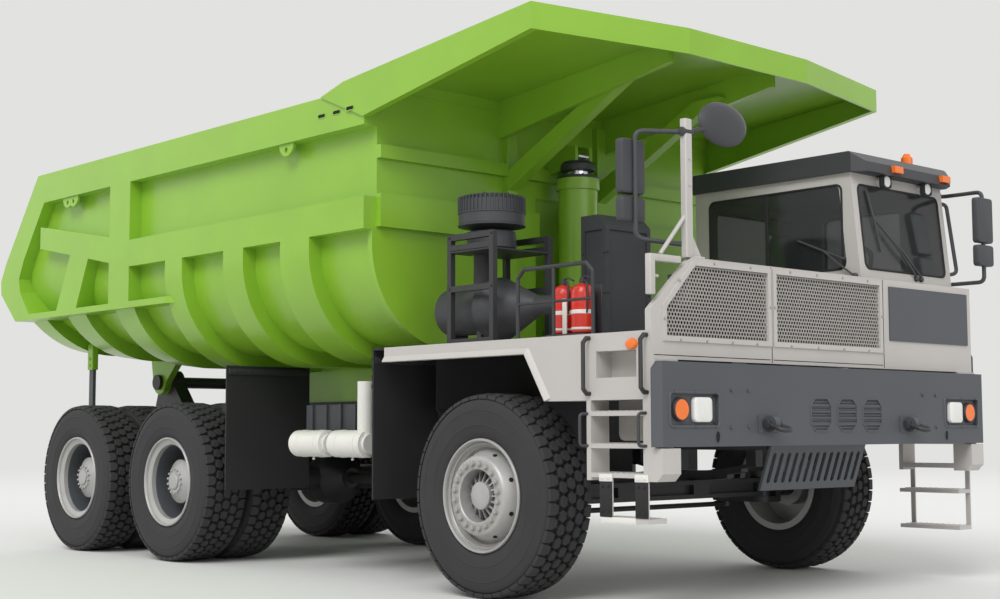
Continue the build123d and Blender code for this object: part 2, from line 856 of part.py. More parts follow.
with BuildPart() as exhaust:
    side_prism(
        [
            (ahead(exhaust_x[0]), deck_top_z),
            (ahead(exhaust_x[1]), deck_top_z),
            (ahead(exhaust_x[1]), deck_top_z + exhaust_h - exhaust_slope),
            (ahead(exhaust_x[1]) - exhaust_slope, deck_top_z + exhaust_h),
            (ahead(exhaust_x[0]), deck_top_z + exhaust_h),
        ],
        exhaust_y,
    )
    panel_z = (deck_top_z + exhaust_rim, deck_top_z + exhaust_h - exhaust_slope - exhaust_rim)
    block(
        span(exhaust_x[0] + exhaust_rim, exhaust_x[1] - exhaust_rim),
        (exhaust_y[0], exhaust_y[0] + exhaust_sink),
        panel_z,
        mode=Mode.SUBTRACT,
    )
    block(
        (ahead(exhaust_x[1]) - exhaust_sink, ahead(exhaust_x[1])),
        (exhaust_y[0] + exhaust_rim, exhaust_y[1] - exhaust_rim),
        panel_z,
        mode=Mode.SUBTRACT,
    )
keep(exhaust, "exhaust_box")

# Radiator pack behind the grilles
radiator_depth = 300.0
radiator_gap = 90.0
radiator_in = 700.0
radiator_cab_gap = 60.0
radiator_top_in = 20.0

with BuildPart() as radiator:
    block(
        (nose_back_x - radiator_gap - radiator_depth, nose_back_x - radiator_gap),
        (-truck_half_w + radiator_in, cab_right_y - radiator_cab_gap),
        (deck_top_z, grille_top_z - radiator_top_in),
    )
keep(radiator, "radiator")

# Engine and gearbox as one plain block between the rails
engine_x = (-600.0, 1100.0)
engine_side_gap = 20.0
engine_top_gap = 45.0
gearbox_back = 1500.0
gearbox_half_w = 300.0
gearbox_drop = 130.0
gearbox_top_gap = 230.0
engine_half_w = rail_inner_y - engine_side_gap

with BuildPart() as engine:
    block(
        span(*engine_x),
        (-engine_half_w, engine_half_w),
        (rail_bottom_z + cross_h, deck_low_z - engine_top_gap),
    )
    side_prism(
        [
            (ahead(-gearbox_back), axle_z - gearbox_drop),
            (ahead(engine_x[0]), axle_z - gearbox_drop),
            (ahead(engine_x[0]), hoist_base_z - gearbox_top_gap),
            (ahead(-gearbox_back), axle_z + gearbox_drop),
        ],
        (-gearbox_half_w, gearbox_half_w),
    )
keep(engine, "engine")

# Front axle: an I-section beam with kingpin bosses
beam_w = 150.0
beam_h = 170.0
beam_drop = 20.0
beam_web = 45.0
beam_flange = 40.0
beam_seat_half_l = 220.0
boss_r = 95.0
boss_half = 95.0
beam_z = axle_z - beam_drop
beam_low_z = beam_z - beam_h / 2
beam_top_z = beam_z + beam_h / 2

with BuildPart() as front_axle:
    block(about(front_axle_x, beam_w), (-kingpin_y, kingpin_y), (beam_low_z, beam_top_z))
    pocket_ends = (
        (-kingpin_y + boss_r + beam_flange, -rail_y - beam_seat_half_l / 2),
        (-rail_y + beam_seat_half_l / 2, rail_y - beam_seat_half_l / 2),
        (rail_y + beam_seat_half_l / 2, kingpin_y - boss_r - beam_flange),
    )
    for pocket in pocket_ends:
        for face in (-1, 1):
            block(
                (front_axle_x + face * beam_web / 2, front_axle_x + face * beam_w / 2),
                pocket,
                (beam_low_z + beam_flange, beam_top_z - beam_flange),
                mode=Mode.SUBTRACT,
            )
    for side in (-1, 1):
        pin_foot = (front_axle_x, side * kingpin_y, beam_z - boss_half)
        pin_head = (front_axle_x, side * kingpin_y, beam_z + boss_half)
        rod(pin_foot, pin_head, boss_r)
        rod(pin_foot, pin_head, kingpin_r + run_gap, mode=Mode.SUBTRACT)
keep(front_axle, "front_axle")

# Leaf springs: front pair under the rails, rear pair over the bogie beam, each of stepped leaves
front_spring_w = 100.0
leaf_t = 30.0
leaf_count = 3
leaf_step = 0.22
leaf_half_l = 750.0
leaf_sag = 90.0
hanger_l = 110.0
rear_leaf_t = 50.0
rear_pad_h = 60.0
saddle_h = 30.0
saddle_l = 240.0
rear_leaf_low_z = bogie_beam_z + bogie_beam_half + saddle_h
rear_pad_z = axle_z + axle_tube_r + rear_pad_h


def leaf(middle_x, half_l, end_z, middle_z, thickness, y):
    """Add one curved leaf whose underside runs through the middle and both ends."""
    low_back, low_front = (middle_x - half_l, end_z), (middle_x + half_l, end_z)
    high_back, high_front = (middle_x - half_l, end_z + thickness), (middle_x + half_l, end_z + thickness)
    with BuildSketch(side_plane(max(y))) as outline:
        with BuildLine():
            ThreePointArc(low_back, (middle_x, middle_z), low_front)
            Line(low_front, high_front)
            ThreePointArc(high_front, (middle_x, middle_z + thickness), high_back)
            Line(high_back, low_back)
        make_face()
    extrude(outline.sketch, amount=abs(y[1] - y[0]))


def leaf_pack(middle_x, half_l, end_z, middle_z, thickness, y, long_leaf):
    """Add a pack of leaves: the long one at the given place in the stack, the others shorter."""
    for index in range(leaf_count):
        share = 1 - leaf_step * abs(index - long_leaf)
        rise = (end_z - middle_z) * share * share + index * thickness
        leaf(middle_x, half_l * share, middle_z + rise, middle_z + index * thickness, thickness, y)


with BuildPart() as springs:
    for side in (-1, 1):
        front_y = about(side * rail_y, front_spring_w)
        rear_y = about(side * spring_y, spring_w)
        front_end_z = beam_top_z + leaf_sag
        leaf_pack(front_axle_x, leaf_half_l, front_end_z, beam_top_z, leaf_t, front_y, leaf_count - 1)
        for end in (-1, 1):
            hanger_x = front_axle_x + end * (leaf_half_l - hanger_l / 2)
            block(
                about(hanger_x, hanger_l),
                front_y,
                (beam_top_z + leaf_sag + leaf_count * leaf_t / 2, rail_bottom_z),
            )
        leaf_pack(bogie_x, bogie_spread / 2, rear_pad_z, rear_leaf_low_z, rear_leaf_t, rear_y, 0)
        block(
            about(bogie_x, saddle_l),
            rear_y,
            (bogie_beam_z + bogie_beam_half, rear_leaf_low_z + leaf_count * rear_leaf_t / 2),
        )
keep(springs, "leaf_springs")

# Rear axles: tube housings, differential bulges, spring pads and wheel spindles
diff_r = 300.0
diff_half_l = 130.0
diff_cone_l = 170.0
flange_l = 40.0
flange_r = 110.0
spindle_over = 60.0
housing_half_l = inner_wheel_y - tyre_w / 2
spindle_end_y = wheel_y + spindle_over
diff_reach = diff_half_l + diff_cone_l + flange_l

with BuildPart() as rear_axles:
    for axle_x in (mid_axle_x, rear_axle_x):
        cross_rod(axle_x, (-housing_half_l, housing_half_l), axle_z, axle_tube_r)
        cross_rod(axle_x, (-spindle_end_y, spindle_end_y), axle_z, rear_spindle_r)
        with BuildSketch(Plane.XZ) as half:
            with BuildLine():
                Polyline(
                    (axle_x - diff_reach, axle_z),
                    (axle_x - diff_reach, axle_z + flange_r),
                    (axle_x - diff_half_l - diff_cone_l, axle_z + flange_r),
                    (axle_x - diff_half_l, axle_z + diff_r),
                    (axle_x + diff_half_l, axle_z + diff_r),
                    (axle_x + diff_half_l + diff_cone_l, axle_z + flange_r),
                    (axle_x + diff_reach, axle_z + flange_r),
                    (axle_x + diff_reach, axle_z),
                    close=True,
                )
            make_face()
        revolve(half.sketch, axis=Axis((axle_x, 0, axle_z), (1, 0, 0)))
        for side in (-1, 1):
            block(about(axle_x, spring_w), about(side * spring_y, spring_w), (axle_z, rear_pad_z))
keep(rear_axles, "rear_axles")

# Prop shafts along the truck
shaft_r = 60.0

with BuildPart() as shafts:
    rod((mid_axle_x + diff_reach, 0, axle_z), (ahead(-gearbox_back), 0, axle_z), shaft_r)
    rod((rear_axle_x + diff_reach, 0, axle_z), (mid_axle_x - diff_reach, 0, axle_z), shaft_r)
keep(shafts, "prop_shafts")

# Battery box and air tanks on the right, fuel tank on the left
battery_x = (-3200.0, -1800.0)
battery_in = 550.0
battery_z = (1150.0, 1620.0)
battery_ribs = 6
battery_rib_t = 40.0
battery_rib_out = 25.0
tank_r = 127.0
tank_in = 300.0
tank_z = 1245.0
tank_dome = 35.0
tank_spans = ((-3000.0, -2440.0), (-2380.0, -1820.0))
tank_foot_l = 200.0
tank_foot_h = 100.0
upright_tank_ahead = -1910.0
upright_tank_r = 75.0
upright_tank_h = 575.0
fuel_x = (-3500.0, -1750.0)
fuel_w = 1000.0
fuel_z = (900.0, 1620.0)
fuel_corner_r = 150.0
strap_l = 70.0
strap_out = 8.0
fuel_straps = (-3200.0, -2050.0)
battery_y = -truck_half_w + battery_in
tank_y = -truck_half_w + tank_in

with BuildPart() as battery:
    block(span(*battery_x), (battery_y, -rail_outer_y), battery_z)
    for rib in range(battery_ribs):
        rib_x = ahead(battery_x[0]) + (rib + 0.5) * (battery_x[1] - battery_x[0]) / battery_ribs
        block(about(rib_x, battery_rib_t), (battery_y - battery_rib_out, battery_y), battery_z)
keep(battery, "battery_box")

with BuildPart() as tanks:
    for back, front in tank_spans:
        rod((ahead(back + tank_dome), tank_y, tank_z), (ahead(front - tank_dome), tank_y, tank_z), tank_r)
        rod((ahead(back), tank_y, tank_z), (ahead(front), tank_y, tank_z), tank_r - tank_dome)
        block(
            about(ahead((back + front) / 2), tank_foot_l),
            (tank_y, battery_y - battery_rib_out),
            about(tank_z, tank_foot_h),
        )
    upright_x = ahead(upright_tank_ahead)
    rod((upright_x, tank_y, tank_z), (upright_x, tank_y, tank_z + upright_tank_h), upright_tank_r)
keep(tanks, "air_tanks")


def fuel_section(grow):
    """Cross-section of the fuel tank with rounded outer corners, grown by a strap's thickness."""
    with BuildSketch(Plane.YZ) as section:
        with Locations((rail_outer_y + fuel_w / 2, sum(fuel_z) / 2)):
            Rectangle(fuel_w + 2 * grow, fuel_z[1] - fuel_z[0] + 2 * grow)
        fillet(section.vertices().group_by(Axis.Y)[-1], fuel_corner_r + grow)
        with Locations((rail_outer_y - fuel_w / 2, sum(fuel_z) / 2)):
            Rectangle(fuel_w, 2 * fuel_z[1], mode=Mode.SUBTRACT)
    return section.sketch


with BuildPart() as fuel_tank:
    extrude(fuel_section(0).moved(Location((ahead(fuel_x[0]), 0, 0))), amount=fuel_x[1] - fuel_x[0])
    for strap in fuel_straps:
        extrude(fuel_section(strap_out).moved(Location((ahead(strap), 0, 0))), amount=strap_l)
keep(fuel_tank, "fuel_tank")

# Mud flaps behind the front wheels and ahead of the rear wheels
flap_t = 20.0
flap_rib_out = 10.0
flap_rib_w = 40.0
flap_ribs = 4
rear_flap_back = 3950.0
rear_flap_in = (80.0, 1100.0)
rear_flap_z = (770.0, 2030.0)
front_flap_back = 1420.0
front_flap_w = 750.0
front_flap_low_z = 760.0
flap_arm_z = (1560.0, 1640.0)
flap_arm_t = 60.0

with BuildPart() as flaps:
    for side in (-1, 1):
        rear_y = (truck_half_w - rear_flap_in[1], truck_half_w - rear_flap_in[0])
        rear_x = ahead(-rear_flap_back)
        block((rear_x, rear_x + flap_t), mirrored(side, *rear_y), rear_flap_z)
        block((rear_x - flap_arm_t, rear_x), mirrored(side, rail_outer_y, rear_y[1]), flap_arm_z)
        front_y = mirrored(side, truck_half_w - front_flap_w, truck_half_w)
        front_x = ahead(-front_flap_back)
        block((front_x, front_x + flap_t), front_y, (front_flap_low_z, deck_top_z))
        block((front_x, deck_back_x), front_y, (deck_low_z, deck_top_z))
        for rib in range(flap_ribs):
            rib_z = deck_low_z - (rib + 1) * 2 * flap_rib_w
            block((front_x - flap_rib_out, front_x), front_y, about(rib_z, flap_rib_w))
keep(flaps, "mud_flaps")

# Cab shell: floor, walls and pillars with rounded windows and the door opening cut
pillar_w = 80.0
side_window_in = (160.0, 130.0)
rear_window_in = 250.0
rear_window_low_in = 80.0
rear_window_top_in = 60.0
door_top_over = 20.0
hinge_r = 16.0
hinge_h = 120.0
hinge_end_in = 220.0
cab_lean = cab_front_lean / cab_h


def cab_front_x(z):
    """Outer face of the leaning cab front at a height."""
    return ahead(cab_front_low) - cab_lean * (z - deck_top_z)


def cab_outline(inset):
    """Side outline of the cab, drawn as x and z, moved inwards."""
    low, high = deck_top_z + inset, cab_top_z - inset
    return [
        (cab_back_x + inset, low),
        (cab_front_x(low) - inset, low),
        (cab_front_x(high) - inset, high),
        (cab_back_x + inset, high),
    ]


front_y = (cab_right_y + pillar_w, cab_left_y - pillar_w)
rear_y = (cab_right_y + rear_window_in, cab_left_y - rear_window_in)
rear_z = (window_low_z + rear_window_low_in, window_top_z - rear_window_top_in)
door_x = (ahead(door_back), ahead(door_back + door_l))
door_z = (deck_top_z + door_sill_h, window_top_z + door_top_over)
hinge_x = door_x[1] + door_gap / 2
hinge_z = (door_z[0] + hinge_end_in, door_z[1] - hinge_end_in)


def window(plane, y_or_x, z, gap, depth, mode=Mode.ADD):
    """Extrude a window's rounded rectangle, smaller all round by a gap."""
    centre = (sum(y_or_x) / 2, sum(z) / 2)
    width, height = y_or_x[1] - y_or_x[0] - 2 * gap, z[1] - z[0] - 2 * gap
    rounded(plane, centre, width, height, window_corner_r - gap, depth, mode)


def side_window(gap, y, mode=Mode.ADD):
    """Extrude the right side window, whose front edge leans with the cab front."""
    low, high = window_low_z + gap, window_top_z - gap
    back_x = cab_back_x + side_window_in[0] + gap
    with BuildSketch(side_plane(max(y))) as outline:
        with BuildLine():
            Polyline(
                (back_x, low),
                (cab_front_x(low) - side_window_in[1] - gap, low),
                (cab_front_x(high) - side_window_in[1] - gap, high),
                (back_x, high),
                close=True,
            )
        make_face()
        fillet(outline.vertices(), window_corner_r - gap)
    extrude(outline.sketch, amount=abs(y[1] - y[0]), mode=mode)


with BuildPart() as cab:
    side_prism(cab_outline(0), (cab_right_y, cab_left_y))
    side_prism(cab_outline(cab_wall), (cab_right_y + cab_wall, cab_left_y - cab_wall), mode=Mode.SUBTRACT)
    screen_back_x = cab_front_x(window_top_z) - 2 * cab_wall
    window(
        cross_plane(screen_back_x),
        front_y,
        (window_low_z, window_top_z),
        0,
        cab_front_x(window_low_z) - screen_back_x,
        mode=Mode.SUBTRACT,
    )
    side_window(0, (cab_right_y, cab_right_y + cab_wall), mode=Mode.SUBTRACT)
    window(cross_plane(cab_back_x), rear_y, rear_z, 0, cab_wall, mode=Mode.SUBTRACT)
    block(
        (door_x[0] - door_gap, door_x[1] + door_gap),
        (cab_left_y - cab_wall, cab_left_y),
        (door_z[0] - door_gap, door_z[1] + door_gap),
        mode=Mode.SUBTRACT,
    )
    for barrel_z in hinge_z:
        rod(
            (hinge_x, cab_left_y, barrel_z - hinge_h / 2 - door_gap),
            (hinge_x, cab_left_y, barrel_z + hinge_h / 2 + door_gap),
            hinge_r + door_gap,
            mode=Mode.SUBTRACT,
        )
keep(cab, "cab_shell")

with BuildPart() as cab_glass:
    side_prism(
        [
            (cab_front_x(window_low_z) - glass_t, window_low_z),
            (cab_front_x(window_low_z), window_low_z),
            (cab_front_x(window_top_z), window_top_z),
            (cab_front_x(window_top_z) - glass_t, window_top_z),
        ],
        front_y,
    )
    window(
        cross_plane(screen_back_x),
        front_y,
        (window_low_z, window_top_z),
        seat_gap,
        cab_front_x(window_low_z) - screen_back_x,
        mode=Mode.INTERSECT,
    )
    side_window(seat_gap, (cab_right_y, cab_right_y + glass_t))
    window(cross_plane(cab_back_x), rear_y, rear_z, seat_gap, glass_t)
keep(cab_glass, "cab_glass")

# Roof cap with a visor over the windscreen and cut front corners
visor_out = 150.0
visor_lip_in = 20.0
roof_front_in = 20.0
roof_cut = 110.0

with BuildPart() as roof:
    roof_y = (cab_right_y - roof_over, cab_left_y + roof_over)
    visor_x = cab_front_x(cab_top_z) + visor_out
    side_prism(
        [
            (cab_back_x - roof_over, cab_top_z),
            (visor_x, cab_top_z),
            (visor_x - visor_lip_in, cab_top_z + roof_t / 2),
            (cab_front_x(cab_top_z) + roof_front_in, cab_top_z + roof_t),
            (cab_back_x, cab_top_z + roof_t),
        ],
        roof_y,
    )
    for corner_y, inwards in ((roof_y[0], 1), (roof_y[1], -1)):
        prism(
            Plane.XY.offset(cab_top_z),
            [
                (visor_x, corner_y),
                (visor_x, corner_y + inwards * roof_cut),
                (visor_x - roof_cut, corner_y),
            ],
            roof_t,
            mode=Mode.SUBTRACT,
        )
keep(roof, "cab_roof")

# Cab door on the left with its hinge barrels, handle and glass
pane_in = 90.0
pane_drop = 60.0
door_handle = (60.0, 200.0, 30.0, 28.0)
door_handle_drop = 170.0
pane_x = (door_x[0] + pane_in, door_x[1] - pane_in)
pane_z = (window_low_z - pane_drop, door_z[1] - pane_in)

with BuildPart() as door:
    block(door_x, (cab_left_y - cab_wall, cab_left_y), door_z)
    window(side_plane(cab_left_y), pane_x, pane_z, 0, cab_wall, mode=Mode.SUBTRACT)
    handle_x = door_x[0] + door_handle[0]
    handle_z = pane_z[0] - door_handle_drop
    block(
        (handle_x, handle_x + door_handle[1]),
        (cab_left_y, cab_left_y + door_handle[3]),
        about(handle_z, door_handle[2]),
    )
    for barrel_z in hinge_z:
        rod(
            (hinge_x, cab_left_y, barrel_z - hinge_h / 2),
            (hinge_x, cab_left_y, barrel_z + hinge_h / 2),
            hinge_r,
        )
keep(door, "cab_door")

with BuildPart() as door_glass:
    window(side_plane(cab_left_y), pane_x, pane_z, seat_gap, glass_t)
keep(door_glass, "door_glass")

# Driver's seat: pedestal, cushion, leaning backrest and headrest
seat_ahead = (350.0, 850.0)
seat_in = (430.0, 950.0)
pedestal_in = 60.0
pedestal_h = 330.0
cushion_t = 140.0
back_t = 130.0
back_h = 620.0
back_lean = 90.0
headrest_in = 130.0
headrest_h = 170.0
cab_floor_z = deck_top_z + cab_wall
seat_x = span(*seat_ahead)
seat_y = (cab_left_y - seat_in[1], cab_left_y - seat_in[0])
cushion_top_z = cab_floor_z + pedestal_h + cushion_t

with BuildPart() as seat:
    block(
        (seat_x[0] + pedestal_in, seat_x[1] - pedestal_in),
        (seat_y[0] + pedestal_in, seat_y[1] - pedestal_in),
        (cab_floor_z, cab_floor_z + pedestal_h),
    )
    block(seat_x, seat_y, (cab_floor_z + pedestal_h, cushion_top_z))
    back_top_z = cushion_top_z + back_h
    side_prism(
        [
            (seat_x[0], cushion_top_z - cushion_t),
            (seat_x[0] + back_t, cushion_top_z - cushion_t),
            (seat_x[0] + back_t - back_lean, back_top_z),
            (seat_x[0] - back_lean, back_top_z),
        ],
        seat_y,
    )
    block(
        (seat_x[0] - back_lean, seat_x[0] - back_lean + back_t),
        (seat_y[0] + headrest_in, seat_y[1] - headrest_in),
        (back_top_z, back_top_z + headrest_h),
    )
keep(seat, "driver_seat")

# Dashboard with a sloped cowl, steering column and wheel
dash_depth = 380.0
dash_front_gap = 10.0
dash_top_gap = 20.0
dash_h = 260.0
column_r = 28.0
column_back = 170.0
column_rise = 170.0
column_foot = (60.0, 60.0)
wheel_r = 225.0
wheel_ring_w = 35.0
wheel_ring_t = 30.0
wheel_spoke_w = 50.0

with BuildPart() as dash:
    dash_front_x = cab_front_x(window_low_z) - cab_wall - dash_front_gap
    dash_back_x = dash_front_x - dash_depth
    dash_top_z = window_low_z - dash_top_gap
    side_prism(
        [
            (dash_back_x, dash_top_z - dash_h / 3),
            (dash_back_x + dash_depth / 3, dash_top_z),
            (dash_front_x, dash_top_z),
            (dash_front_x, dash_top_z - dash_h),
            (dash_back_x + dash_depth / 3, dash_top_z - dash_h),
        ],
        (cab_right_y + cab_wall, cab_left_y - cab_wall),
    )
    column_y = sum(seat_y) / 2
    column_start = (dash_back_x + dash_depth / 3 + column_foot[0], column_y, dash_top_z - column_foot[1])
    wheel_x = dash_back_x + column_foot[0] - column_back
    column_end = (wheel_x, column_y, dash_top_z - column_foot[1] + column_rise)
    rod(column_start, column_end, column_r)
    with BuildSketch(Plane(origin=column_end, z_dir=Vector(*column_end) - Vector(*column_start))) as ring:
        Circle(wheel_r)
        Circle(wheel_r - wheel_ring_w, mode=Mode.SUBTRACT)
        Rectangle(2 * wheel_r - wheel_ring_w, wheel_spoke_w)
    extrude(ring.sketch, amount=wheel_ring_t)
keep(dash, "dashboard")

# Mirrors: post on the nose at the right, loop bracket on the cab at the left
post_in = 450.0
post_w = 80.0
post_h = 1020.0
post_brace_h = 260.0
post_brace_l = 160.0
arm_drop = 60.0
arm_r = 20.0
arm_corner = 60.0
right_head_back = 300.0
right_head_in = 120.0
head_t = 70.0
head_w = 260.0
head_corner_r = 60.0
big_head_h = 420.0
small_head_h = 195.0
head_gap = 20.0
head_drop = 60.0
convex_half_w = 290.0
convex_half_h = 175.0
convex_t = 50.0
convex_dome = 0.8
convex_in = 420.0
convex_rise = 110.0
convex_out = 60.0
left_head_ahead = 2030.0
left_head_over = 48.0
loop_in = 40.0
loop_drop = 60.0
loop_low_rise = 60.0


def mirror_heads(x, y, top_z):
    """Add a large rounded mirror head and a small one below it."""
    low_z = top_z - big_head_h
    plane = cross_plane(x - head_t / 2)
    rounded(plane, (y, top_z - big_head_h / 2), head_w, big_head_h, head_corner_r, head_t)
    rounded(plane, (y, low_z - head_gap - small_head_h / 2), head_w, small_head_h, head_corner_r, head_t)


with BuildPart() as mirrors:
    post_y = -truck_half_w + post_in
    post_x = nose_back_x + nose_t / 2
    post_top_z = nose_top_z + post_h
    arm_z = post_top_z - arm_drop
    block(about(post_x, nose_t), about(post_y, post_w), (nose_top_z, post_top_z))
    prism(
        cross_plane(nose_back_x),
        [
            (post_y, nose_top_z),
            (post_y + post_brace_l, nose_top_z),
            (post_y, nose_top_z + post_brace_h),
        ],
        nose_t,
    )
    right_head_x = nose_x - right_head_back
    right_head_y = -truck_half_w + right_head_in
    head_top_z = arm_z - head_drop
    bent_tube(
        [
            (post_x, post_y, arm_z),
            (right_head_x, right_head_y, arm_z),
            (right_head_x, right_head_y, head_top_z - big_head_h - small_head_h),
        ],
        arm_r,
        arm_corner,
    )
    mirror_heads(right_head_x, right_head_y, head_top_z)
    convex_at = (post_x + convex_out - convex_t, post_y + convex_in, arm_z + convex_rise)
    rod((post_x, post_y, arm_z), convex_at, arm_r)
    for shrink, lift in ((1.0, convex_t / 2), (convex_dome, convex_t)):
        with BuildSketch(cross_plane(convex_at[0])) as disc:
            with Locations((convex_at[1], convex_at[2])):
                Ellipse(convex_half_w * shrink, convex_half_h * shrink)
        extrude(disc.sketch, amount=lift)
    loop_x = cab_front_x(cab_top_z) - loop_in
    loop_z = (cab_top_z - loop_drop, nose_top_z + loop_low_rise)
    left_head_x = ahead(left_head_ahead)
    left_head_y = truck_half_w + left_head_over
    bent_tube(
        [
            (loop_x, cab_left_y, loop_z[0]),
            (loop_x, left_head_y, loop_z[0]),
            (left_head_x, left_head_y, loop_z[0]),
            (left_head_x, left_head_y, loop_z[1]),
            (loop_x, left_head_y, loop_z[1]),
            (loop_x, cab_left_y, loop_z[1]),
        ],
        arm_r,
        arm_corner / 2,
    )
    mirror_heads(left_head_x, left_head_y, loop_z[0] - head_drop)
keep(mirrors, "mirrors")

# Lamps: square headlamps and round orange turn lamps in the bumper, work lamps and orange lamps on the cab
lens_t = 32.0
lens_in = 190.0
lens_half = 85.0
lens_corner_r = 20.0
turn_in = 415.0
turn_r = 75.0
work_lamp_r = 48.0
work_lamp_l = 90.0
work_lamp_drop = 50.0
work_lamp_shares = (0.3, 0.75)
beacon_r = 55.0
beacon_h = 120.0
beacon_back = 100.0
beacon_share = 0.73
marker_shares = (0.35, 0.885)
marker_out = 25.0
marker_w = 130.0
marker_rise = (25.0, 85.0)
fender_marker_ahead = 1710.0
fender_marker_z = 2000.0
fender_marker_r = 32.0
fender_marker_t = 18.0
lamp_mid_z = sum(lamp_z) / 2
lens_back_x = bumper_x - lamp_recess

with BuildPart() as headlamps:
    for side in (-1, 1):
        lens_y = side * (lamp_y[0] + lens_in)
        lens_plane = cross_plane(lens_back_x)
        rounded(lens_plane, (lens_y, lamp_mid_z), 2 * lens_half, 2 * lens_half, lens_corner_r, lens_t)
    work_z = cab_top_z - work_lamp_drop
    for share in work_lamp_shares:
        work_y = cab_right_y + share * cab_w
        work_x = cab_front_x(work_z)
        rod((work_x - cab_wall / 2, work_y, work_z), (work_x + work_lamp_l, work_y, work_z), work_lamp_r)
    side_prism(cab_outline(0), (cab_right_y, cab_left_y), mode=Mode.SUBTRACT)
keep(headlamps, "headlamps")

with BuildPart() as orange_lamps:
    for side in (-1, 1):
        turn_y = side * (lamp_y[0] + turn_in)
        rod((lens_back_x, turn_y, lamp_mid_z), (lens_back_x + lens_t, turn_y, lamp_mid_z), turn_r)
        marker_y = mirrored(side, truck_half_w, truck_half_w + fender_marker_t)
        cross_rod(ahead(fender_marker_ahead), marker_y, fender_marker_z, fender_marker_r)
    roof_top_z = cab_top_z + roof_t
    spun(
        cab_front_x(cab_top_z) - beacon_back,
        cab_right_y + beacon_share * cab_w,
        [
            (0, roof_top_z),
            (beacon_r, roof_top_z),
            (beacon_r, roof_top_z + beacon_h * 2 / 3),
            (beacon_r / 2, roof_top_z + beacon_h),
            (0, roof_top_z + beacon_h),
        ],
    )
    for share in marker_shares:
        face_xs = [visor_x - visor_lip_in * rise / (roof_t / 2) for rise in marker_rise]
        side_prism(
            [
                (face_xs[0], cab_top_z + marker_rise[0]),
                (visor_x + marker_out, cab_top_z + marker_rise[0]),
                (visor_x + marker_out, cab_top_z + marker_rise[1]),
                (face_xs[1], cab_top_z + marker_rise[1]),
            ],
            about(cab_right_y + share * cab_w, marker_w),
        )
keep(orange_lamps, "orange_lamps")

# Knuckles: lugs over and under the axle boss, kingpin, wheel spindle and steering arm
lug_plate_t = 55.0
lug_gap = 0.4
knuckle_lug_r = 110.0
web_gap = 12.0
web_t = 70.0
collar_r = 120.0
hub_back_in = 60.0
spindle_tip_over = 130.0
arm_end_in = 60.0
arm_root_half = 60.0
arm_tip_half = 50.0
web_y = kingpin_y + boss_r + web_gap
hub_back_y = wheel_y - hub_back_in
spindle_tip_y = wheel_y + spindle_tip_over
arm_end_y = kingpin_y - arm_end_in
knuckle_low_z = beam_z - boss_half - lug_gap - lug_plate_t
knuckle_top_z = beam_z + boss_half + lug_gap + lug_plate_t


def knuckle(side):
    """Build the steering knuckle of one side."""
    with BuildPart() as piece:
        pin_y = side * kingpin_y
        rod((front_axle_x, pin_y, knuckle_low_z), (front_axle_x, pin_y, knuckle_top_z), kingpin_r)
        for low_z in (knuckle_low_z, knuckle_top_z - lug_plate_t):
            rod((front_axle_x, pin_y, low_z), (front_axle_x, pin_y, low_z + lug_plate_t), knuckle_lug_r)
            block(
                about(front_axle_x, 2 * knuckle_lug_r),
                mirrored(side, kingpin_y, web_y + web_t),
                (low_z, low_z + lug_plate_t),
            )
        block(
            about(front_axle_x, 2 * knuckle_lug_r),
            mirrored(side, web_y, web_y + web_t),
            (knuckle_low_z, knuckle_top_z),
        )
        cross_rod(front_axle_x, mirrored(side, web_y, hub_back_y - seat_gap), axle_z, collar_r)
        cross_rod(front_axle_x, mirrored(side, web_y, spindle_tip_y), axle_z, spindle_r)
        prism(
            Plane.XY.offset(knuckle_low_z),
            [
                (front_axle_x, pin_y - arm_root_half),
                (front_axle_x, pin_y + arm_root_half),
                (front_axle_x - steer_arm_l - arm_tip_half, side * arm_end_y + arm_tip_half),
                (front_axle_x - steer_arm_l - arm_tip_half, side * arm_end_y - arm_tip_half),
            ],
            lug_plate_t,
        )
    return piece


for side, name in ((-1, "knuckle_right"), (1, "knuckle_left")):
    keep(knuckle(side), name)

# Tie rod under the steering arms
tie_eye_h = 50.0
tie_eye_r = 50.0
tie_r = 24.0

with BuildPart() as tie_rod:
    tie_x = front_axle_x - steer_arm_l
    tie_top_z = knuckle_low_z - seat_gap
    cross_rod(tie_x, (-arm_end_y, arm_end_y), tie_top_z - tie_eye_h / 2, tie_r)
    for side in (-1, 1):
        rod((tie_x, side * arm_end_y, tie_top_z - tie_eye_h), (tie_x, side * arm_end_y, tie_top_z), tie_eye_r)
keep(tie_rod, "tie_rod")

# Wheels: turned rims with hubs, and tyres with cross lugs and bulged sidewalls
lug_top_share = 0.46
lug_foot_share = 0.6
sidewall_r = 640.0
disc_t = 30.0
disc_in = 95.0
front_hub_r = 210.0
hub_cone = 70.0
cap_r = 115.0
cap_over = 10.0
rear_hub_r = 230.0
rear_cap_over = 80.0
lug_pitch = 2 * pi / lug_count
lug_top_turn = lug_pitch * lug_top_share / 2
lug_foot_turn = lug_pitch * lug_foot_share / 2
lug_top_r = tyre_d / 2 / cos(lug_top_turn)
tread_root_r = tyre_d / 2 - lug_h
bead_r = (rim_flange_r + seat_gap) / cos(lug_foot_turn)


def ring_points(corners):
    """Closed outline round the axle: each lug pitch has the given corners of (radius, turn)."""
    points = []
    for index in range(lug_count):
        middle = index * lug_pitch - pi / 2
        for radius, turn in corners:
            points.append((radius * cos(middle + turn), radius * sin(middle + turn)))
    return points


def facets(radius):
    """Closed outline round the axle at one radius, with its corners at the feet of the lugs."""
    return ring_points(((radius, -lug_foot_turn), (radius, lug_foot_turn)))


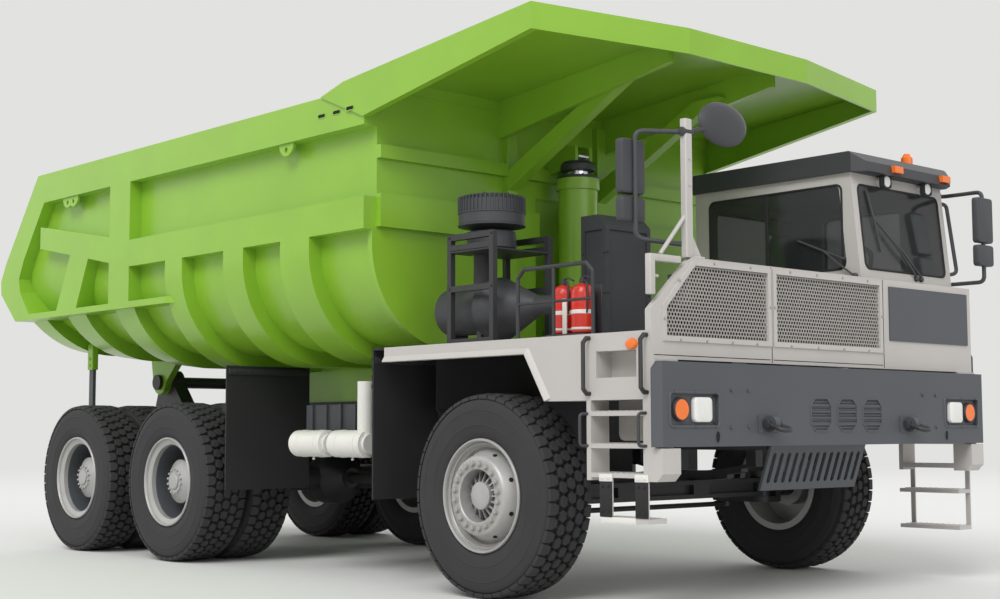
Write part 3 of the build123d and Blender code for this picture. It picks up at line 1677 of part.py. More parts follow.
def cone(large_r, small_r, large_y, small_y, mode):
    """Add or cut a faceted cone frustum about the axle, between two y values."""
    with BuildSketch(side_plane(large_y)) as large:
        with BuildLine():
            Polyline(*facets(large_r), close=True)
        make_face()
    with BuildSketch(side_plane(small_y)) as small:
        with BuildLine():
            Polyline(*facets(small_r), close=True)
        make_face()
    loft([large.sketch, small.sketch], ruled=True, mode=mode)


with BuildPart() as tyre_at_origin:
    lug_corners = (
        (tread_root_r, -lug_foot_turn),
        (lug_top_r, -lug_top_turn),
        (lug_top_r, lug_top_turn),
        (tread_root_r, lug_foot_turn),
    )
    side_prism(ring_points(lug_corners), about(0, tread_w))
    for out in (-1, 1):
        edge_y, bulge_y = out * tread_w / 2, out * tyre_w / 2
        cone(tread_root_r, sidewall_r, edge_y, bulge_y, Mode.ADD)
        cone(sidewall_r, bead_r, bulge_y, edge_y, Mode.SUBTRACT)
    side_prism(facets(bead_r), about(0, tread_w), mode=Mode.SUBTRACT)


def tyre(x, centre_y):
    """Add a copy of the tyre at an axle."""
    add(tyre_at_origin.part.moved(Location((x, centre_y, axle_z))))


def front_wheel(side, name):
    """Build the rim and tyre of one front wheel."""
    rim_face_y = wheel_y + rim_w / 2
    disc_y = rim_face_y - disc_in
    with BuildPart() as rim:
        profile = [
            (spindle_r + run_gap, hub_back_y),
            (front_hub_r, hub_back_y),
            (front_hub_r, disc_y - disc_t),
            (rim_inner_r, disc_y - disc_t),
            (rim_inner_r, wheel_y - rim_w / 2),
            (rim_flange_r, wheel_y - rim_w / 2),
            (rim_flange_r, rim_face_y),
            (rim_inner_r, disc_y),
            (front_hub_r, disc_y),
            (cap_r, disc_y + hub_cone),
            (cap_r, rim_face_y + cap_over),
            (0, rim_face_y + cap_over),
            (0, spindle_tip_y + move_gap),
            (spindle_r + run_gap, spindle_tip_y + move_gap),
        ]
        turned(front_axle_x, axle_z, [(r, side * y) for r, y in profile])
    keep(rim, f"front_{name}_rim")
    with BuildPart() as rubber:
        tyre(front_axle_x, side * wheel_y)
    keep(rubber, f"front_{name}_tyre")


def dual_wheel(axle_x, side, name):
    """Build the joined rims and the two tyres of one rear wheel."""
    disc_y = (wheel_y + inner_wheel_y) / 2
    cap_y = spindle_end_y + rear_cap_over
    with BuildPart() as rim:
        profile = [
            (rear_spindle_r + run_gap, housing_half_l + seat_gap),
            (rear_hub_r, housing_half_l + seat_gap),
            (rear_hub_r, disc_y - disc_t),
            (rim_inner_r, disc_y - disc_t),
            (rim_inner_r, inner_wheel_y - rim_w / 2),
            (rim_flange_r, inner_wheel_y - rim_w / 2),
            (rim_flange_r, wheel_y + rim_w / 2),
            (rim_inner_r, wheel_y + rim_w / 2 - disc_t),
            (rim_inner_r, disc_y),
            (rear_hub_r, disc_y),
            (rear_hub_r, cap_y - hub_cone),
            (cap_r, cap_y),
            (0, cap_y),
            (0, spindle_end_y + move_gap),
            (rear_spindle_r + run_gap, spindle_end_y + move_gap),
        ]
        turned(axle_x, axle_z, [(r, side * y) for r, y in profile])
    keep(rim, f"{name}_rims")
    with BuildPart() as rubber:
        for centre_y in (wheel_y, inner_wheel_y):
            tyre(axle_x, side * centre_y)
    keep(rubber, f"{name}_tyres")


for side, name in ((-1, "right"), (1, "left")):
    front_wheel(side, name)
    dual_wheel(mid_axle_x, side, f"mid_{name}")
    dual_wheel(rear_axle_x, side, f"rear_{name}")

# Tipping body: U-section tub with rounded lower corners and a rising tail, ribs, rails and rear frame
rib_backs = ((2180.0, 2650.0), (3290.0, 3650.0), (4440.0, 4780.0), (5550.0, 6000.0), (6780.0, 7270.0))
full_ribs = 3
post_back = (5550.0, 6000.0)
front_flange_w = 60.0
front_flange_out = 50.0
shelf_drop = 1690.0
shelf_t = 70.0
shelf_back = (4500.0, 8340.0)
shelf_nose_l = 250.0
shelf_in = 300.0
tail_points = ((7800.0, 0.0), (8620.0, 990.0), (8760.0, 1210.0), (8745.0, 1370.0), (8340.0, 1720.0))
tail_band = (445.0, 480.0, 500.0, 520.0, 430.0)
tail_under_lean = 220.0
sloping_beam = ((7700.0, 630.0, 890.0), (6000.0, 910.0, 1200.0))
leaning_rib_top = ((6900.0, 974.0), (6463.0, 1048.0))
wall_posts_y = (560.0, 680.0)
wall_post_t = 70.0
wall_post_low = 300.0
wall_rail_t = 60.0
wall_rail_drops = ((1250.0, 950.0), (630.0, 510.0))
hoist_well_top = 700.0
hoist_well_depth = 550.0
cheek_t = 40.0
runner_back = 6000.0
runner_front_in = 60.0
lug_reach = (-250.0, 600.0)
lifting_lugs = (2600.0, 6930.0, 7070.0)
lifting_lug_r = 60.0
lifting_hole_r = 26.0
lifting_lug_t = 25.0
weld_in = 5.0
trim_over = 500.0

tail_x = ahead(-rear_reach)
break_x = ahead(-bed_rise_back)
rise_angle = atan2(bed_tail_rise, rear_reach - bed_rise_back)
mitre = Plane(origin=(break_x, 0, bed_floor_z), z_dir=(-cos(rise_angle / 2), 0, sin(rise_angle / 2)))
tail_l = hypot(rear_reach - bed_rise_back, bed_tail_rise) + trim_over
well_half_w = hoist_r + swing_gap
shelf_z = bed_top_z - shelf_drop


def floor_z(x):
    """Underside of the tub, flat at the front and rising towards the tail."""
    return bed_floor_z + max(0.0, break_x - x) * tan(rise_angle)


def tub_section(plane, grow):
    """Cross-section of the tub with its floor at the plane's origin, moved outwards by grow."""
    half = bed_half_w + grow
    radius = bed_corner_r + grow
    turn = radius * (1 - sqrt(0.5))
    high = bed_h + trim_over
    with BuildSketch(plane) as section:
        with BuildLine():
            Polyline((half, radius - grow), (half, high), (-half, high), (-half, radius - grow))
            ThreePointArc((-half, radius - grow), (-half + turn, turn - grow), (-half + radius, -grow))
            Line((-half + radius, -grow), (half - radius, -grow))
            ThreePointArc((half - radius, -grow), (half - turn, turn - grow), (half, radius - grow))
        make_face()
    return section.sketch


def tub(front_x, grow):
    """Solid of the tub: a level stretch and a rising tail that meet at a mitre."""
    level = Plane(origin=(front_x, 0, bed_floor_z), x_dir=(0, 1, 0), z_dir=(1, 0, 0))
    rising = Plane(
        origin=(break_x, 0, bed_floor_z),
        x_dir=(0, 1, 0),
        z_dir=(cos(rise_angle), 0, -sin(rise_angle)),
    )
    with BuildPart() as front:
        extrude(tub_section(level, grow), amount=-(front_x - break_x + trim_over))
        split(bisect_by=mitre, keep=Keep.BOTTOM)
    with BuildPart() as rear:
        extrude(tub_section(rising, grow), amount=-tail_l)
        extrude(tub_section(rising, grow), amount=trim_over)
        split(bisect_by=mitre, keep=Keep.TOP)
    with BuildPart() as whole:
        add(front.part)
        add(rear.part)
    return whole.part


def tail_point(index, band=0.0):
    """A corner of the rear frame as x and z, moved forward by a band."""
    back, drop = tail_points[index]
    return ahead(-back + band), bed_top_z - drop


tail_edge = [tail_point(index) for index in range(len(tail_points))]
tail_inner = [tail_point(index, tail_band[index]) for index in range(len(tail_points))]
under_edge = (tail_edge[-1][0] + tail_under_lean, bed_floor_z - bed_rib_t)
outer_tub = tub(bed_front_x, 0.0)
inner_tub = tub(bed_front_x - bed_wall, -bed_wall)
flange_tub = tub(bed_front_x, front_flange_out)

with BuildPart() as rib_stencil:
    for index, (near, far) in enumerate(rib_backs):
        high_z = mid_rail_low_z if index < full_ribs else shelf_z
        rib_z = (bed_floor_z - bed_rib_t, high_z + weld_in)
        block(span(-far, -near), (-bed_frame_half_w, bed_frame_half_w), rib_z)
    side_prism(
        [
            tail_edge[-1],
            tail_inner[-1],
            (under_edge[0] + tail_band[-1], under_edge[1]),
            under_edge,
        ],
        (-bed_frame_half_w, bed_frame_half_w),
    )

with BuildPart() as ribs:
    add(tub(bed_front_x, bed_rib_t))
    add(rib_stencil.part, mode=Mode.INTERSECT)

with BuildPart() as flange:
    add(flange_tub)
    block(
        (bed_front_x - front_flange_w, bed_front_x),
        (-bed_frame_half_w, bed_frame_half_w),
        (bed_floor_z - bed_rib_t, mid_rail_low_z),
        mode=Mode.INTERSECT,
    )

with BuildPart() as bed:
    add(outer_tub)
    add(ribs.part)
    add(flange.part)
    for side in (-1, 1):
        frame_y = mirrored(side, bed_half_w - shelf_in, bed_frame_half_w)
        wall_y = mirrored(side, bed_half_w - weld_in, bed_frame_half_w)
        block((tail_edge[0][0], bed_front_x), wall_y, (bed_top_z - rim_beam_h, bed_top_z))
        block((ahead(-post_back[0]), bed_front_x), wall_y, (mid_rail_low_z, mid_rail_top_z))
        block(span(-post_back[1], -post_back[0]), frame_y, (shelf_z, bed_top_z - rim_beam_h))
        (beam_back, beam_high, beam_low), (beam_front, front_high, front_low) = sloping_beam
        side_prism(
            [
                (ahead(-beam_back), bed_top_z - beam_low),
                (ahead(-beam_back), bed_top_z - beam_high),
                (ahead(-beam_front), bed_top_z - front_high),
                (ahead(-beam_front), bed_top_z - front_low),
            ],
            wall_y,
        )
        side_prism(
            [
                (ahead(-rib_backs[-1][1]), shelf_z),
                (ahead(-rib_backs[-1][0]), shelf_z),
                (ahead(-leaning_rib_top[1][0]), bed_top_z - leaning_rib_top[1][1]),
                (ahead(-leaning_rib_top[0][0]), bed_top_z - leaning_rib_top[0][1]),
            ],
            frame_y,
        )
        side_prism(tail_edge + tail_inner[::-1], frame_y)
        prism(
            Plane.XY.offset(shelf_z - shelf_t / 2),
            [
                (ahead(-shelf_back[0]), side * (bed_half_w - shelf_in)),
                (ahead(-shelf_back[0]), side * bed_half_w),
                (ahead(-shelf_back[0] - shelf_nose_l), side * bed_frame_half_w),
                (ahead(-shelf_back[1]), side * bed_frame_half_w),
                (ahead(-shelf_back[1]), side * (bed_half_w - shelf_in)),
            ],
            shelf_t,
        )
        for lug_back in lifting_lugs:
            lug_y = mirrored(side, bed_frame_half_w - 2 * lifting_lug_t, bed_frame_half_w - lifting_lug_t)
            lug_z = bed_top_z - rim_beam_h
            cross_rod(ahead(-lug_back), lug_y, lug_z, 2 * lifting_lug_r)
            cross_rod(ahead(-lug_back), lug_y, lug_z - lifting_lug_r, lifting_hole_r, mode=Mode.SUBTRACT)
        block(
            (bed_front_x, bed_front_x + wall_post_t),
            mirrored(side, *wall_posts_y),
            (bed_floor_z + wall_post_low, bed_top_z),
        )
    for low, high in wall_rail_drops:
        rail_z = (bed_top_z - low, bed_top_z - high)
        block((bed_front_x, bed_front_x + wall_rail_t), (-bed_half_w, bed_half_w), rail_z)
    add(inner_tub, mode=Mode.SUBTRACT)
    block(
        (tail_x - 2 * trim_over, bed_front_x + trim_over),
        (-bed_frame_half_w, bed_frame_half_w),
        (bed_top_z, bed_top_z + 2 * trim_over),
        mode=Mode.SUBTRACT,
    )
    side_prism(
        [
            (tail_edge[0][0], bed_top_z + trim_over),
            *tail_edge,
            under_edge,
            (under_edge[0], bed_floor_z - trim_over),
            (tail_x - trim_over, bed_floor_z - trim_over),
            (tail_x - trim_over, bed_top_z + trim_over),
        ],
        (-bed_frame_half_w, bed_frame_half_w),
        mode=Mode.SUBTRACT,
    )
    # Well in the front wall that the hoist leans into as the body tips
    well_top_z = bed_top_z - hoist_well_top
    well_back_x = bed_front_x - hoist_well_depth
    well = [(bed_front_x, well_top_z), (well_back_x, bed_floor_z), (bed_front_x, bed_floor_z)]
    side_prism(well, (-well_half_w - bed_wall, well_half_w + bed_wall))
    side_prism(
        [
            (bed_front_x + wall_post_t, well_top_z - bed_wall),
            (bed_front_x - bed_wall, well_top_z - 4 * bed_wall),
            (well_back_x + bed_wall, bed_floor_z - bed_rib_t),
            (bed_front_x + wall_post_t, bed_floor_z - bed_rib_t),
        ],
        (-well_half_w, well_half_w),
        mode=Mode.SUBTRACT,
    )
    # Runners along the floor that rest on the frame rails, pivot lugs and the hoist's upper bracket
    for side in (-1, 1):
        block(
            (ahead(-runner_back), bed_front_x - runner_front_in),
            about(side * rail_y, runner_w),
            (rail_top_z, bed_floor_z + weld_in),
        )
        lug_y = mirrored(side, pivot_lug_y, pivot_lug_end_y)
        side_prism(
            [
                (pivot_x - pivot_boss_r, pivot_z),
                (pivot_x + pivot_boss_r, pivot_z),
                (pivot_x + lug_reach[1], floor_z(pivot_x + lug_reach[1]) + weld_in),
                (pivot_x + lug_reach[0], floor_z(pivot_x + lug_reach[0]) + weld_in),
            ],
            lug_y,
        )
        cross_rod(pivot_x, lug_y, pivot_z, pivot_boss_r)
        cross_rod(pivot_x, lug_y, pivot_z, pivot_r + run_gap, mode=Mode.SUBTRACT)
        cheek_y = hoist_eye_w / 2 + move_gap
        side_prism(
            [
                (bed_front_x, hoist_eye_z - 2 * hoist_eye_r),
                (hoist_x + hoist_eye_r, hoist_eye_z - hoist_eye_r),
                (hoist_x + hoist_eye_r, hoist_eye_z + hoist_eye_r),
                (bed_front_x, hoist_eye_z + 2 * hoist_eye_r),
            ],
            mirrored(side, cheek_y, cheek_y + cheek_t),
        )
keep(bed, "bed_tub")

# Canopy: swept sheet with side plates that lap the rim beams, front fascia, deep ribs and braces
canopy_lap = 640.0
canopy_lap_knee = 290.0
canopy_knee_rise = 90.0
canopy_rib_t = 60.0
canopy_lip_w = 70.0
canopy_lip_t = 14.0
brace_w = 110.0
brace_low = (770.0, 570.0)
brace_ahead = (0.0, 300.0)
brace_top_drop = 20.0
canopy_rib_y = wall_posts_y[1] + canopy_rib_t / 2
canopy_root_z = bed_top_z - canopy_root_h + canopy_root_rise
canopy_root_top_z = bed_top_z + canopy_root_rise
canopy_side_x = ahead(canopy_corner_ahead)
canopy_front_x = canopy_side_x + canopy_centre_reach
canopy_low_z = canopy_top_z - canopy_fascia_h


def canopy_plan(inset):
    """Plan outline of the canopy, moved inwards at its sides and front."""
    half = canopy_half_w - inset
    return [
        (bed_front_x, -half),
        (canopy_side_x - inset, -half),
        (canopy_front_x - inset, -canopy_centre_half_w),
        (canopy_front_x - inset, canopy_centre_half_w),
        (canopy_side_x - inset, half),
        (bed_front_x, half),
    ]


def canopy_side(top_drop, foot_drop):
    """Side outline of the canopy, with its top and its foot moved down."""
    return [
        (bed_front_x, canopy_root_z - foot_drop),
        (canopy_side_x, canopy_low_z - foot_drop),
        (canopy_front_x, canopy_low_z - foot_drop),
        (canopy_front_x, canopy_top_z - top_drop),
        (canopy_side_x, canopy_top_z - top_drop),
        (bed_front_x, canopy_root_top_z - top_drop),
    ]


def canopy_solid(inset, top_drop, foot_drop):
    """Solid between the canopy's side outline and its plan."""
    with BuildPart() as whole:
        side_prism(canopy_side(top_drop, foot_drop), (-canopy_half_w, canopy_half_w))
        with BuildSketch(Plane.XY) as plan:
            with BuildLine():
                Polyline(*canopy_plan(inset), close=True)
            make_face()
        extrude(plan.sketch, amount=2 * canopy_top_z, mode=Mode.INTERSECT)
    return whole.part


canopy_outer = canopy_solid(0.0, 0.0, 0.0)
canopy_hollow = canopy_solid(canopy_plate_t, canopy_sheet_t, canopy_root_h)

with BuildPart() as canopy:
    add(canopy_outer)
    add(canopy_hollow, mode=Mode.SUBTRACT)
    for side in (-1, 1):
        rib_y = about(side * canopy_rib_y, canopy_rib_t)
        side_prism(
            [
                (bed_front_x, canopy_root_z),
                (canopy_side_x, canopy_low_z),
                (canopy_side_x, canopy_top_z - canopy_sheet_t),
                (bed_front_x, canopy_root_top_z - canopy_sheet_t),
            ],
            rib_y,
        )
        wall_front_x = bed_front_x + wall_post_t
        brace_top_z = canopy_low_z - brace_top_drop
        side_prism(
            [
                (wall_front_x, bed_top_z - brace_low[0]),
                (ahead(brace_ahead[1]), brace_top_z),
                (ahead(brace_ahead[0]), brace_top_z),
                (wall_front_x, bed_top_z - brace_low[1]),
            ],
            about(side * sum(wall_posts_y) / 2, brace_w),
        )
        side_prism(
            [
                (bed_front_x, canopy_root_z),
                (canopy_side_x, canopy_low_z),
                (canopy_side_x, canopy_low_z + canopy_lip_t),
                (bed_front_x, canopy_root_z + canopy_lip_t),
            ],
            mirrored(side, canopy_half_w - canopy_lip_w, canopy_half_w),
        )
        side_prism(
            [
                (bed_front_x - canopy_lap, bed_top_z),
                (bed_front_x - canopy_lap_knee, bed_top_z + canopy_knee_rise),
                (bed_front_x, canopy_root_top_z),
                (bed_front_x, canopy_root_z),
            ],
            mirrored(side, bed_frame_half_w, canopy_half_w),
        )
    block(
        (bed_front_x, bed_front_x + canopy_plate_t),
        (-bed_frame_half_w, bed_frame_half_w),
        (bed_top_z, canopy_root_top_z - canopy_sheet_t / 2),
    )
keep(canopy, "bed_canopy")

# Rock bars that hang from the body between the twin rear tyres
bar_back = 7650.0
bar_t = 36.0
bar_w = 90.0
bar_low_z = 1150.0
bar_tip_cut = 60.0

with BuildPart() as rock_bars:
    bar_y = (wheel_y + inner_wheel_y) / 2
    bar_x = ahead(-bar_back)
    bar_top_z = shelf_z - shelf_t - seat_gap
    for side in (-1, 1):
        side_prism(
            [
                (bar_x - bar_w / 2, bar_low_z + bar_tip_cut),
                (bar_x + bar_w / 2, bar_low_z),
                (bar_x + bar_w / 2, bar_top_z),
                (bar_x - bar_w / 2, bar_top_z),
            ],
            about(side * bar_y, bar_t),
        )
    add(tub(bed_front_x, seat_gap), mode=Mode.SUBTRACT)
keep(rock_bars, "rock_bars")

# Telescopic hoist: barrel on its trunnion, two middle stages and the top stage with its eye
barrel_foot_rise = 150.0
barrel_top_drop = 230.0
stage_foot_step = 20.0
stage_head_step = 40.0
trunnion_half_l = 110.0
trunnion_wall = 50.0
trunnion_neck = 180.0
collar_out = 22.0
collar_h = 110.0


def hoist_tube(index):
    """Outer radius, foot and head of a hoist stage, where stage 0 is the barrel."""
    foot_z = hoist_base_z + barrel_foot_rise + index * stage_foot_step
    head_z = hoist_eye_z - barrel_top_drop + index * stage_head_step
    return hoist_r - index * hoist_step, foot_z, head_z


def hoist_rod(low_z, high_z, radius, mode=Mode.ADD):
    """Add or cut a round bar along the hoist."""
    rod((hoist_x, 0, low_z), (hoist_x, 0, high_z), radius, mode)


with BuildPart() as hoist_barrel:
    radius, foot_z, head_z = hoist_tube(0)
    trunnion_y = (-trunnion_half_l, trunnion_half_l)
    hoist_rod(foot_z, head_z, radius)
    hoist_rod(head_z - collar_h, head_z, radius + collar_out)
    hoist_rod(foot_z + stage_foot_step, head_z, radius - hoist_step + seat_gap, mode=Mode.SUBTRACT)
    cross_rod(hoist_x, trunnion_y, hoist_base_z, hoist_pin_r + trunnion_wall)
    block(about(hoist_x, trunnion_neck), trunnion_y, (hoist_base_z, foot_z))
    cross_rod(hoist_x, trunnion_y, hoist_base_z, hoist_pin_r + run_gap, mode=Mode.SUBTRACT)
keep(hoist_barrel, "hoist_barrel")

for index in (1, 2):
    with BuildPart() as stage:
        radius, foot_z, head_z = hoist_tube(index)
        hoist_rod(foot_z + seat_gap, head_z, radius)
        hoist_rod(foot_z + stage_foot_step, head_z, radius - hoist_step + seat_gap, mode=Mode.SUBTRACT)
    keep(stage, f"hoist_stage_{index}")

with BuildPart() as top_stage:
    radius, foot_z, head_z = hoist_tube(3)
    hoist_rod(foot_z + seat_gap, hoist_eye_z, radius)
    cross_rod(hoist_x, (-hoist_eye_w / 2, hoist_eye_w / 2), hoist_eye_z, hoist_eye_r)
keep(top_stage, "hoist_stage_3")
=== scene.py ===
"""Looks of the wide-body mining dump truck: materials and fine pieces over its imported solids."""

import json
from math import copysign, cos, hypot, pi, radians, sin, sqrt

import bmesh
import bpy
from mathutils import Matrix, Vector


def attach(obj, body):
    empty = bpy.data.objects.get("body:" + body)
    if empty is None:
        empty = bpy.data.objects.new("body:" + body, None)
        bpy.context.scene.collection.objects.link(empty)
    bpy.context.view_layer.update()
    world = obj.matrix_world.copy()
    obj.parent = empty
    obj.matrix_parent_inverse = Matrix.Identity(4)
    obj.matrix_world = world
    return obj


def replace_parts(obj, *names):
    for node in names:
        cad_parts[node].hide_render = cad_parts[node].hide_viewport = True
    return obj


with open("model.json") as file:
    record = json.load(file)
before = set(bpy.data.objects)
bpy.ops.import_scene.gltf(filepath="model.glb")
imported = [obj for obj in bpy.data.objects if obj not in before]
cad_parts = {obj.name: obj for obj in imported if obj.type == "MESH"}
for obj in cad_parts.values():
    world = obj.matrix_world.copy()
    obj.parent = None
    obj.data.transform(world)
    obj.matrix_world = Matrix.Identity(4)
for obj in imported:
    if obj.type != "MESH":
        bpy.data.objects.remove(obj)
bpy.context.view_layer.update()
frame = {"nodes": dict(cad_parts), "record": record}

RIGHT, LEFT = SIDES = (-1, 1)
SIDE_NAME = {RIGHT: "right", LEFT: "left"}
AHEAD, ACROSS, UP = Vector((1, 0, 0)), Vector((0, 1, 0)), Vector((0, 0, 1))


# Materials

def srgb(red, green, blue):
    """Linear colour of an 8-bit display colour."""
    steps = (value / 255 for value in (red, green, blue))
    return tuple(s / 12.92 if s <= 0.04045 else ((s + 0.055) / 1.055) ** 2.4 for s in steps)


def fill_in(tree, node, **inputs):
    """Give named inputs of a shader node a value or another node's output."""
    for name, value in inputs.items():
        socket = node.inputs[name.replace("_", " ")]
        if isinstance(value, bpy.types.NodeSocket):
            tree.links.new(value, socket)
        else:
            socket.default_value = value
    return node


def node_in(tree, kind, **inputs):
    """A new shader node with some of its inputs filled in."""
    return fill_in(tree, tree.nodes.new("ShaderNode" + kind), **inputs)


def noise_in(tree, scale, detail=4.0, stretch=(1.0, 1.0, 1.0)):
    """Noise over the object's own coordinates."""
    fit = node_in(tree, "Mapping", Vector=node_in(tree, "TexCoord").outputs["Object"], Scale=stretch)
    noise = node_in(tree, "TexNoise", Vector=fit.outputs["Vector"], Scale=scale, Detail=detail)
    return noise.outputs["Fac"]


def bump_in(tree, height, strength, depth):
    """Fine relief from a noise."""
    return node_in(tree, "Bump", Height=height, Strength=strength, Distance=depth).outputs["Normal"]


def finish_of(name, colour, rough, tone=0.9, metal=0.0, coat=0.0, patch=1.6, grain=220.0, relief=0.08):
    """A surface of an 8-bit display colour, whose tone, gloss and fine relief all vary a little."""
    made = bpy.data.materials.new(name)
    made.use_nodes = True
    tree = made.node_tree
    patches = noise_in(tree, patch)
    ramp = node_in(tree, "ValToRGB", Fac=patches)
    for stop, place, share in zip(ramp.color_ramp.elements, (0.35, 0.65), (tone, 1.0)):
        stop.position = place
        stop.color = (*(value * share for value in srgb(*colour)), 1.0)
    gloss = node_in(tree, "MapRange", Value=patches, To_Min=rough * 0.88, To_Max=min(rough * 1.12, 1.0))
    fill_in(
        tree, tree.nodes["Principled BSDF"],
        Base_Color=ramp.outputs["Color"], Roughness=gloss.outputs["Result"], Metallic=metal,
        Normal=bump_in(tree, noise_in(tree, grain, detail=2.0), relief, 0.001),
        Coat_Weight=coat, Coat_Roughness=0.18,
    )
    return made


def fabric_of(name, colour):
    """Woven cloth with a crossed thread relief."""
    made = finish_of(name, colour, 0.9, tone=0.8, patch=9.0)
    tree = made.node_tree
    threads = noise_in(tree, 60.0, detail=1.0, stretch=(9.0, 1.0, 9.0))
    weave = bump_in(tree, threads, 0.5, 0.002)
    fill_in(tree, tree.nodes["Principled BSDF"], Normal=weave, Sheen_Weight=0.3)
    return made


def glass_of(name, colour, rough, alpha):
    """Tinted glass or lens, see-through by its alpha."""
    made = finish_of(name, colour, rough, tone=0.94, patch=3.0, relief=0.01)
    fill_in(made.node_tree, made.node_tree.nodes["Principled BSDF"], Alpha=alpha, IOR=1.5)
    return made


# Finishes by slot; the last two are the scene's own and no slot of the record
FINISHES = {
    "green_paint": dict(colour=(138, 186, 50), rough=0.36, tone=0.93, coat=0.25),
    "grey_paint": dict(colour=(190, 186, 182), rough=0.42, tone=0.95, coat=0.15),
    "slate_paint": dict(colour=(77, 80, 85), rough=0.5, tone=0.92),
    "mesh_paint": dict(colour=(160, 157, 152), rough=0.5, tone=0.92),
    "roof_paint": dict(colour=(58, 59, 62), rough=0.55, tone=0.85),
    "white_paint": dict(colour=(226, 225, 219), rough=0.34, tone=0.95, coat=0.2),
    "red_paint": dict(colour=(216, 44, 28), rough=0.3, coat=0.4),
    "frame_black": dict(colour=(50, 50, 53), rough=0.5, tone=0.8),
    "engine_iron": dict(colour=(66, 66, 68), rough=0.62, tone=0.75, patch=4.0, relief=0.2),
    "spring_steel": dict(colour=(70, 71, 74), rough=0.46, tone=0.75, metal=0.4, patch=6.0),
    "rod_chrome": dict(colour=(205, 206, 210), rough=0.16, tone=0.93, metal=1.0, relief=0.02),
    "rim_silver": dict(colour=(176, 175, 173), rough=0.42, metal=0.25, patch=5.0),
    "tyre_rubber": dict(colour=(49, 49, 50), rough=0.82, tone=0.8, patch=3.0, grain=140.0, relief=0.25),
    "flap_rubber": dict(colour=(30, 30, 31), rough=0.74, tone=0.8, patch=2.0, grain=160.0, relief=0.2),
    "dark_plastic": dict(colour=(62, 63, 67), rough=0.52, tone=0.85, grain=420.0, relief=0.2),
    "orange_lens": dict(colour=(246, 118, 30), rough=0.22, tone=0.92, coat=0.5, patch=12.0),
    "mirror_glass": dict(colour=(190, 196, 200), rough=0.05, tone=0.97, metal=1.0, relief=0.0),
    # Near-black: the own colour of dark panel joints and the radiator core, and painted shade where holes,
    # slots and a fold are drawn as dark sheets
    "near_black_and_hole_shade": dict(colour=(14, 14, 15), rough=0.9, tone=0.8),
}
MATERIALS = {name: finish_of(name, **look) for name, look in FINISHES.items()}
MATERIALS["seat_fabric"] = fabric_of("seat_fabric", (58, 60, 66))
MATERIALS["window_glass"] = glass_of("window_glass", (46, 50, 50), 0.06, 0.55)
MATERIALS["lamp_glass"] = glass_of("lamp_glass", (246, 246, 242), 0.12, 0.85)

for row in frame["record"]["subparts"]:
    node_materials = frame["nodes"][row["node"]].data.materials
    node_materials.clear()
    node_materials.append(MATERIALS[row["material_slot"]])


# Mesh makers: each adds to a bmesh in metres

def meshes(count):
    """Several empty meshes."""
    return [bmesh.new() for _ in range(count)]


def linked(name, data):
    """A new object in the scene."""
    made = bpy.data.objects.new(name, data)
    bpy.context.scene.collection.objects.link(made)
    return made


def piece(name, mesh, finish, body="chassis", crease=35.0):
    """Turn a bmesh into an object that rides on a body, shaded smooth up to the crease angle."""
    bmesh.ops.recalc_face_normals(mesh, faces=mesh.faces)
    data = bpy.data.meshes.new(name)
    mesh.to_mesh(data)
    mesh.free()
    data.materials.append(MATERIALS[finish])
    data.shade_smooth()
    data.set_sharp_from_angle(angle=radians(crease))
    made = linked(name, data)
    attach(made, body)
    return made


def angles(count, first=0.0):
    """Angles spread evenly over a full turn."""
    return [2 * pi * (k + first) / count for k in range(count)]


def spread(low, high, count):
    """Middles of equal shares of a length."""
    return [low + (k + 0.5) * (high - low) / count for k in range(count)]


def loft(mesh, rings, loop=False):
    """Skin of quads through equal rings of points, with end faces or joined back to the first ring."""
    loops = [[mesh.verts.new(point) for point in ring] for ring in rings]
    count = len(loops[0])
    for lower, upper in zip(loops, loops[1:] + loops[:1] if loop else loops[1:]):
        for i in range(count):
            j = (i + 1) % count
            mesh.faces.new((lower[i], lower[j], upper[j], upper[i]))
    if not loop:
        mesh.faces.new(loops[0][::-1])
        mesh.faces.new(loops[-1])


def octagon(low, high, cut):
    """Rectangle between two (u, v) corners with its corners cut, counter-clockwise."""
    (u0, v0), (u1, v1) = low, high
    return [
        (u0 + cut, v0), (u1 - cut, v0), (u1, v0 + cut), (u1, v1 - cut),
        (u1 - cut, v1), (u0 + cut, v1), (u0, v1 - cut), (u0, v0 + cut),
    ]


def box(mesh, low, high, bevel):
    """Box with chamfered edges."""
    (x0, y0, z0), (x1, y1, z1) = low, high
    rings = []
    for inset, z in ((bevel / 2, z0), (0.0, z0 + bevel), (0.0, z1 - bevel), (bevel / 2, z1)):
        ring = octagon((x0 + inset, y0 + inset), (x1 - inset, y1 - inset), bevel - inset)
        rings.append([(*point, z) for point in ring])
    loft(mesh, rings)


def lathe(mesh, centre, axis, profile, sides=48, loop=False):
    """Turned form from (radius, distance along the axis) points; a ring with an open middle by loop."""
    turn, centre = Vector(axis).to_track_quat("Z", "Y").to_matrix(), Vector(centre)
    loft(mesh, [
        [centre + turn @ Vector((r * cos(a), r * sin(a), along)) for a in angles(sides)]
        for r, along in profile
    ], loop)


def hex_heads(mesh, places, axis, radius, height):
    """Hexagon heads with chamfered tops on round washers."""
    washer, foot = radius * 1.35, height * 0.2
    head = [(radius, foot), (radius, height * 0.85), (radius * 0.82, height), (radius * 0.3, height)]
    for place in places:
        lathe(mesh, place, axis, [(washer, 0.0), (washer, foot)], sides=18)
        lathe(mesh, place, axis, head, sides=6)


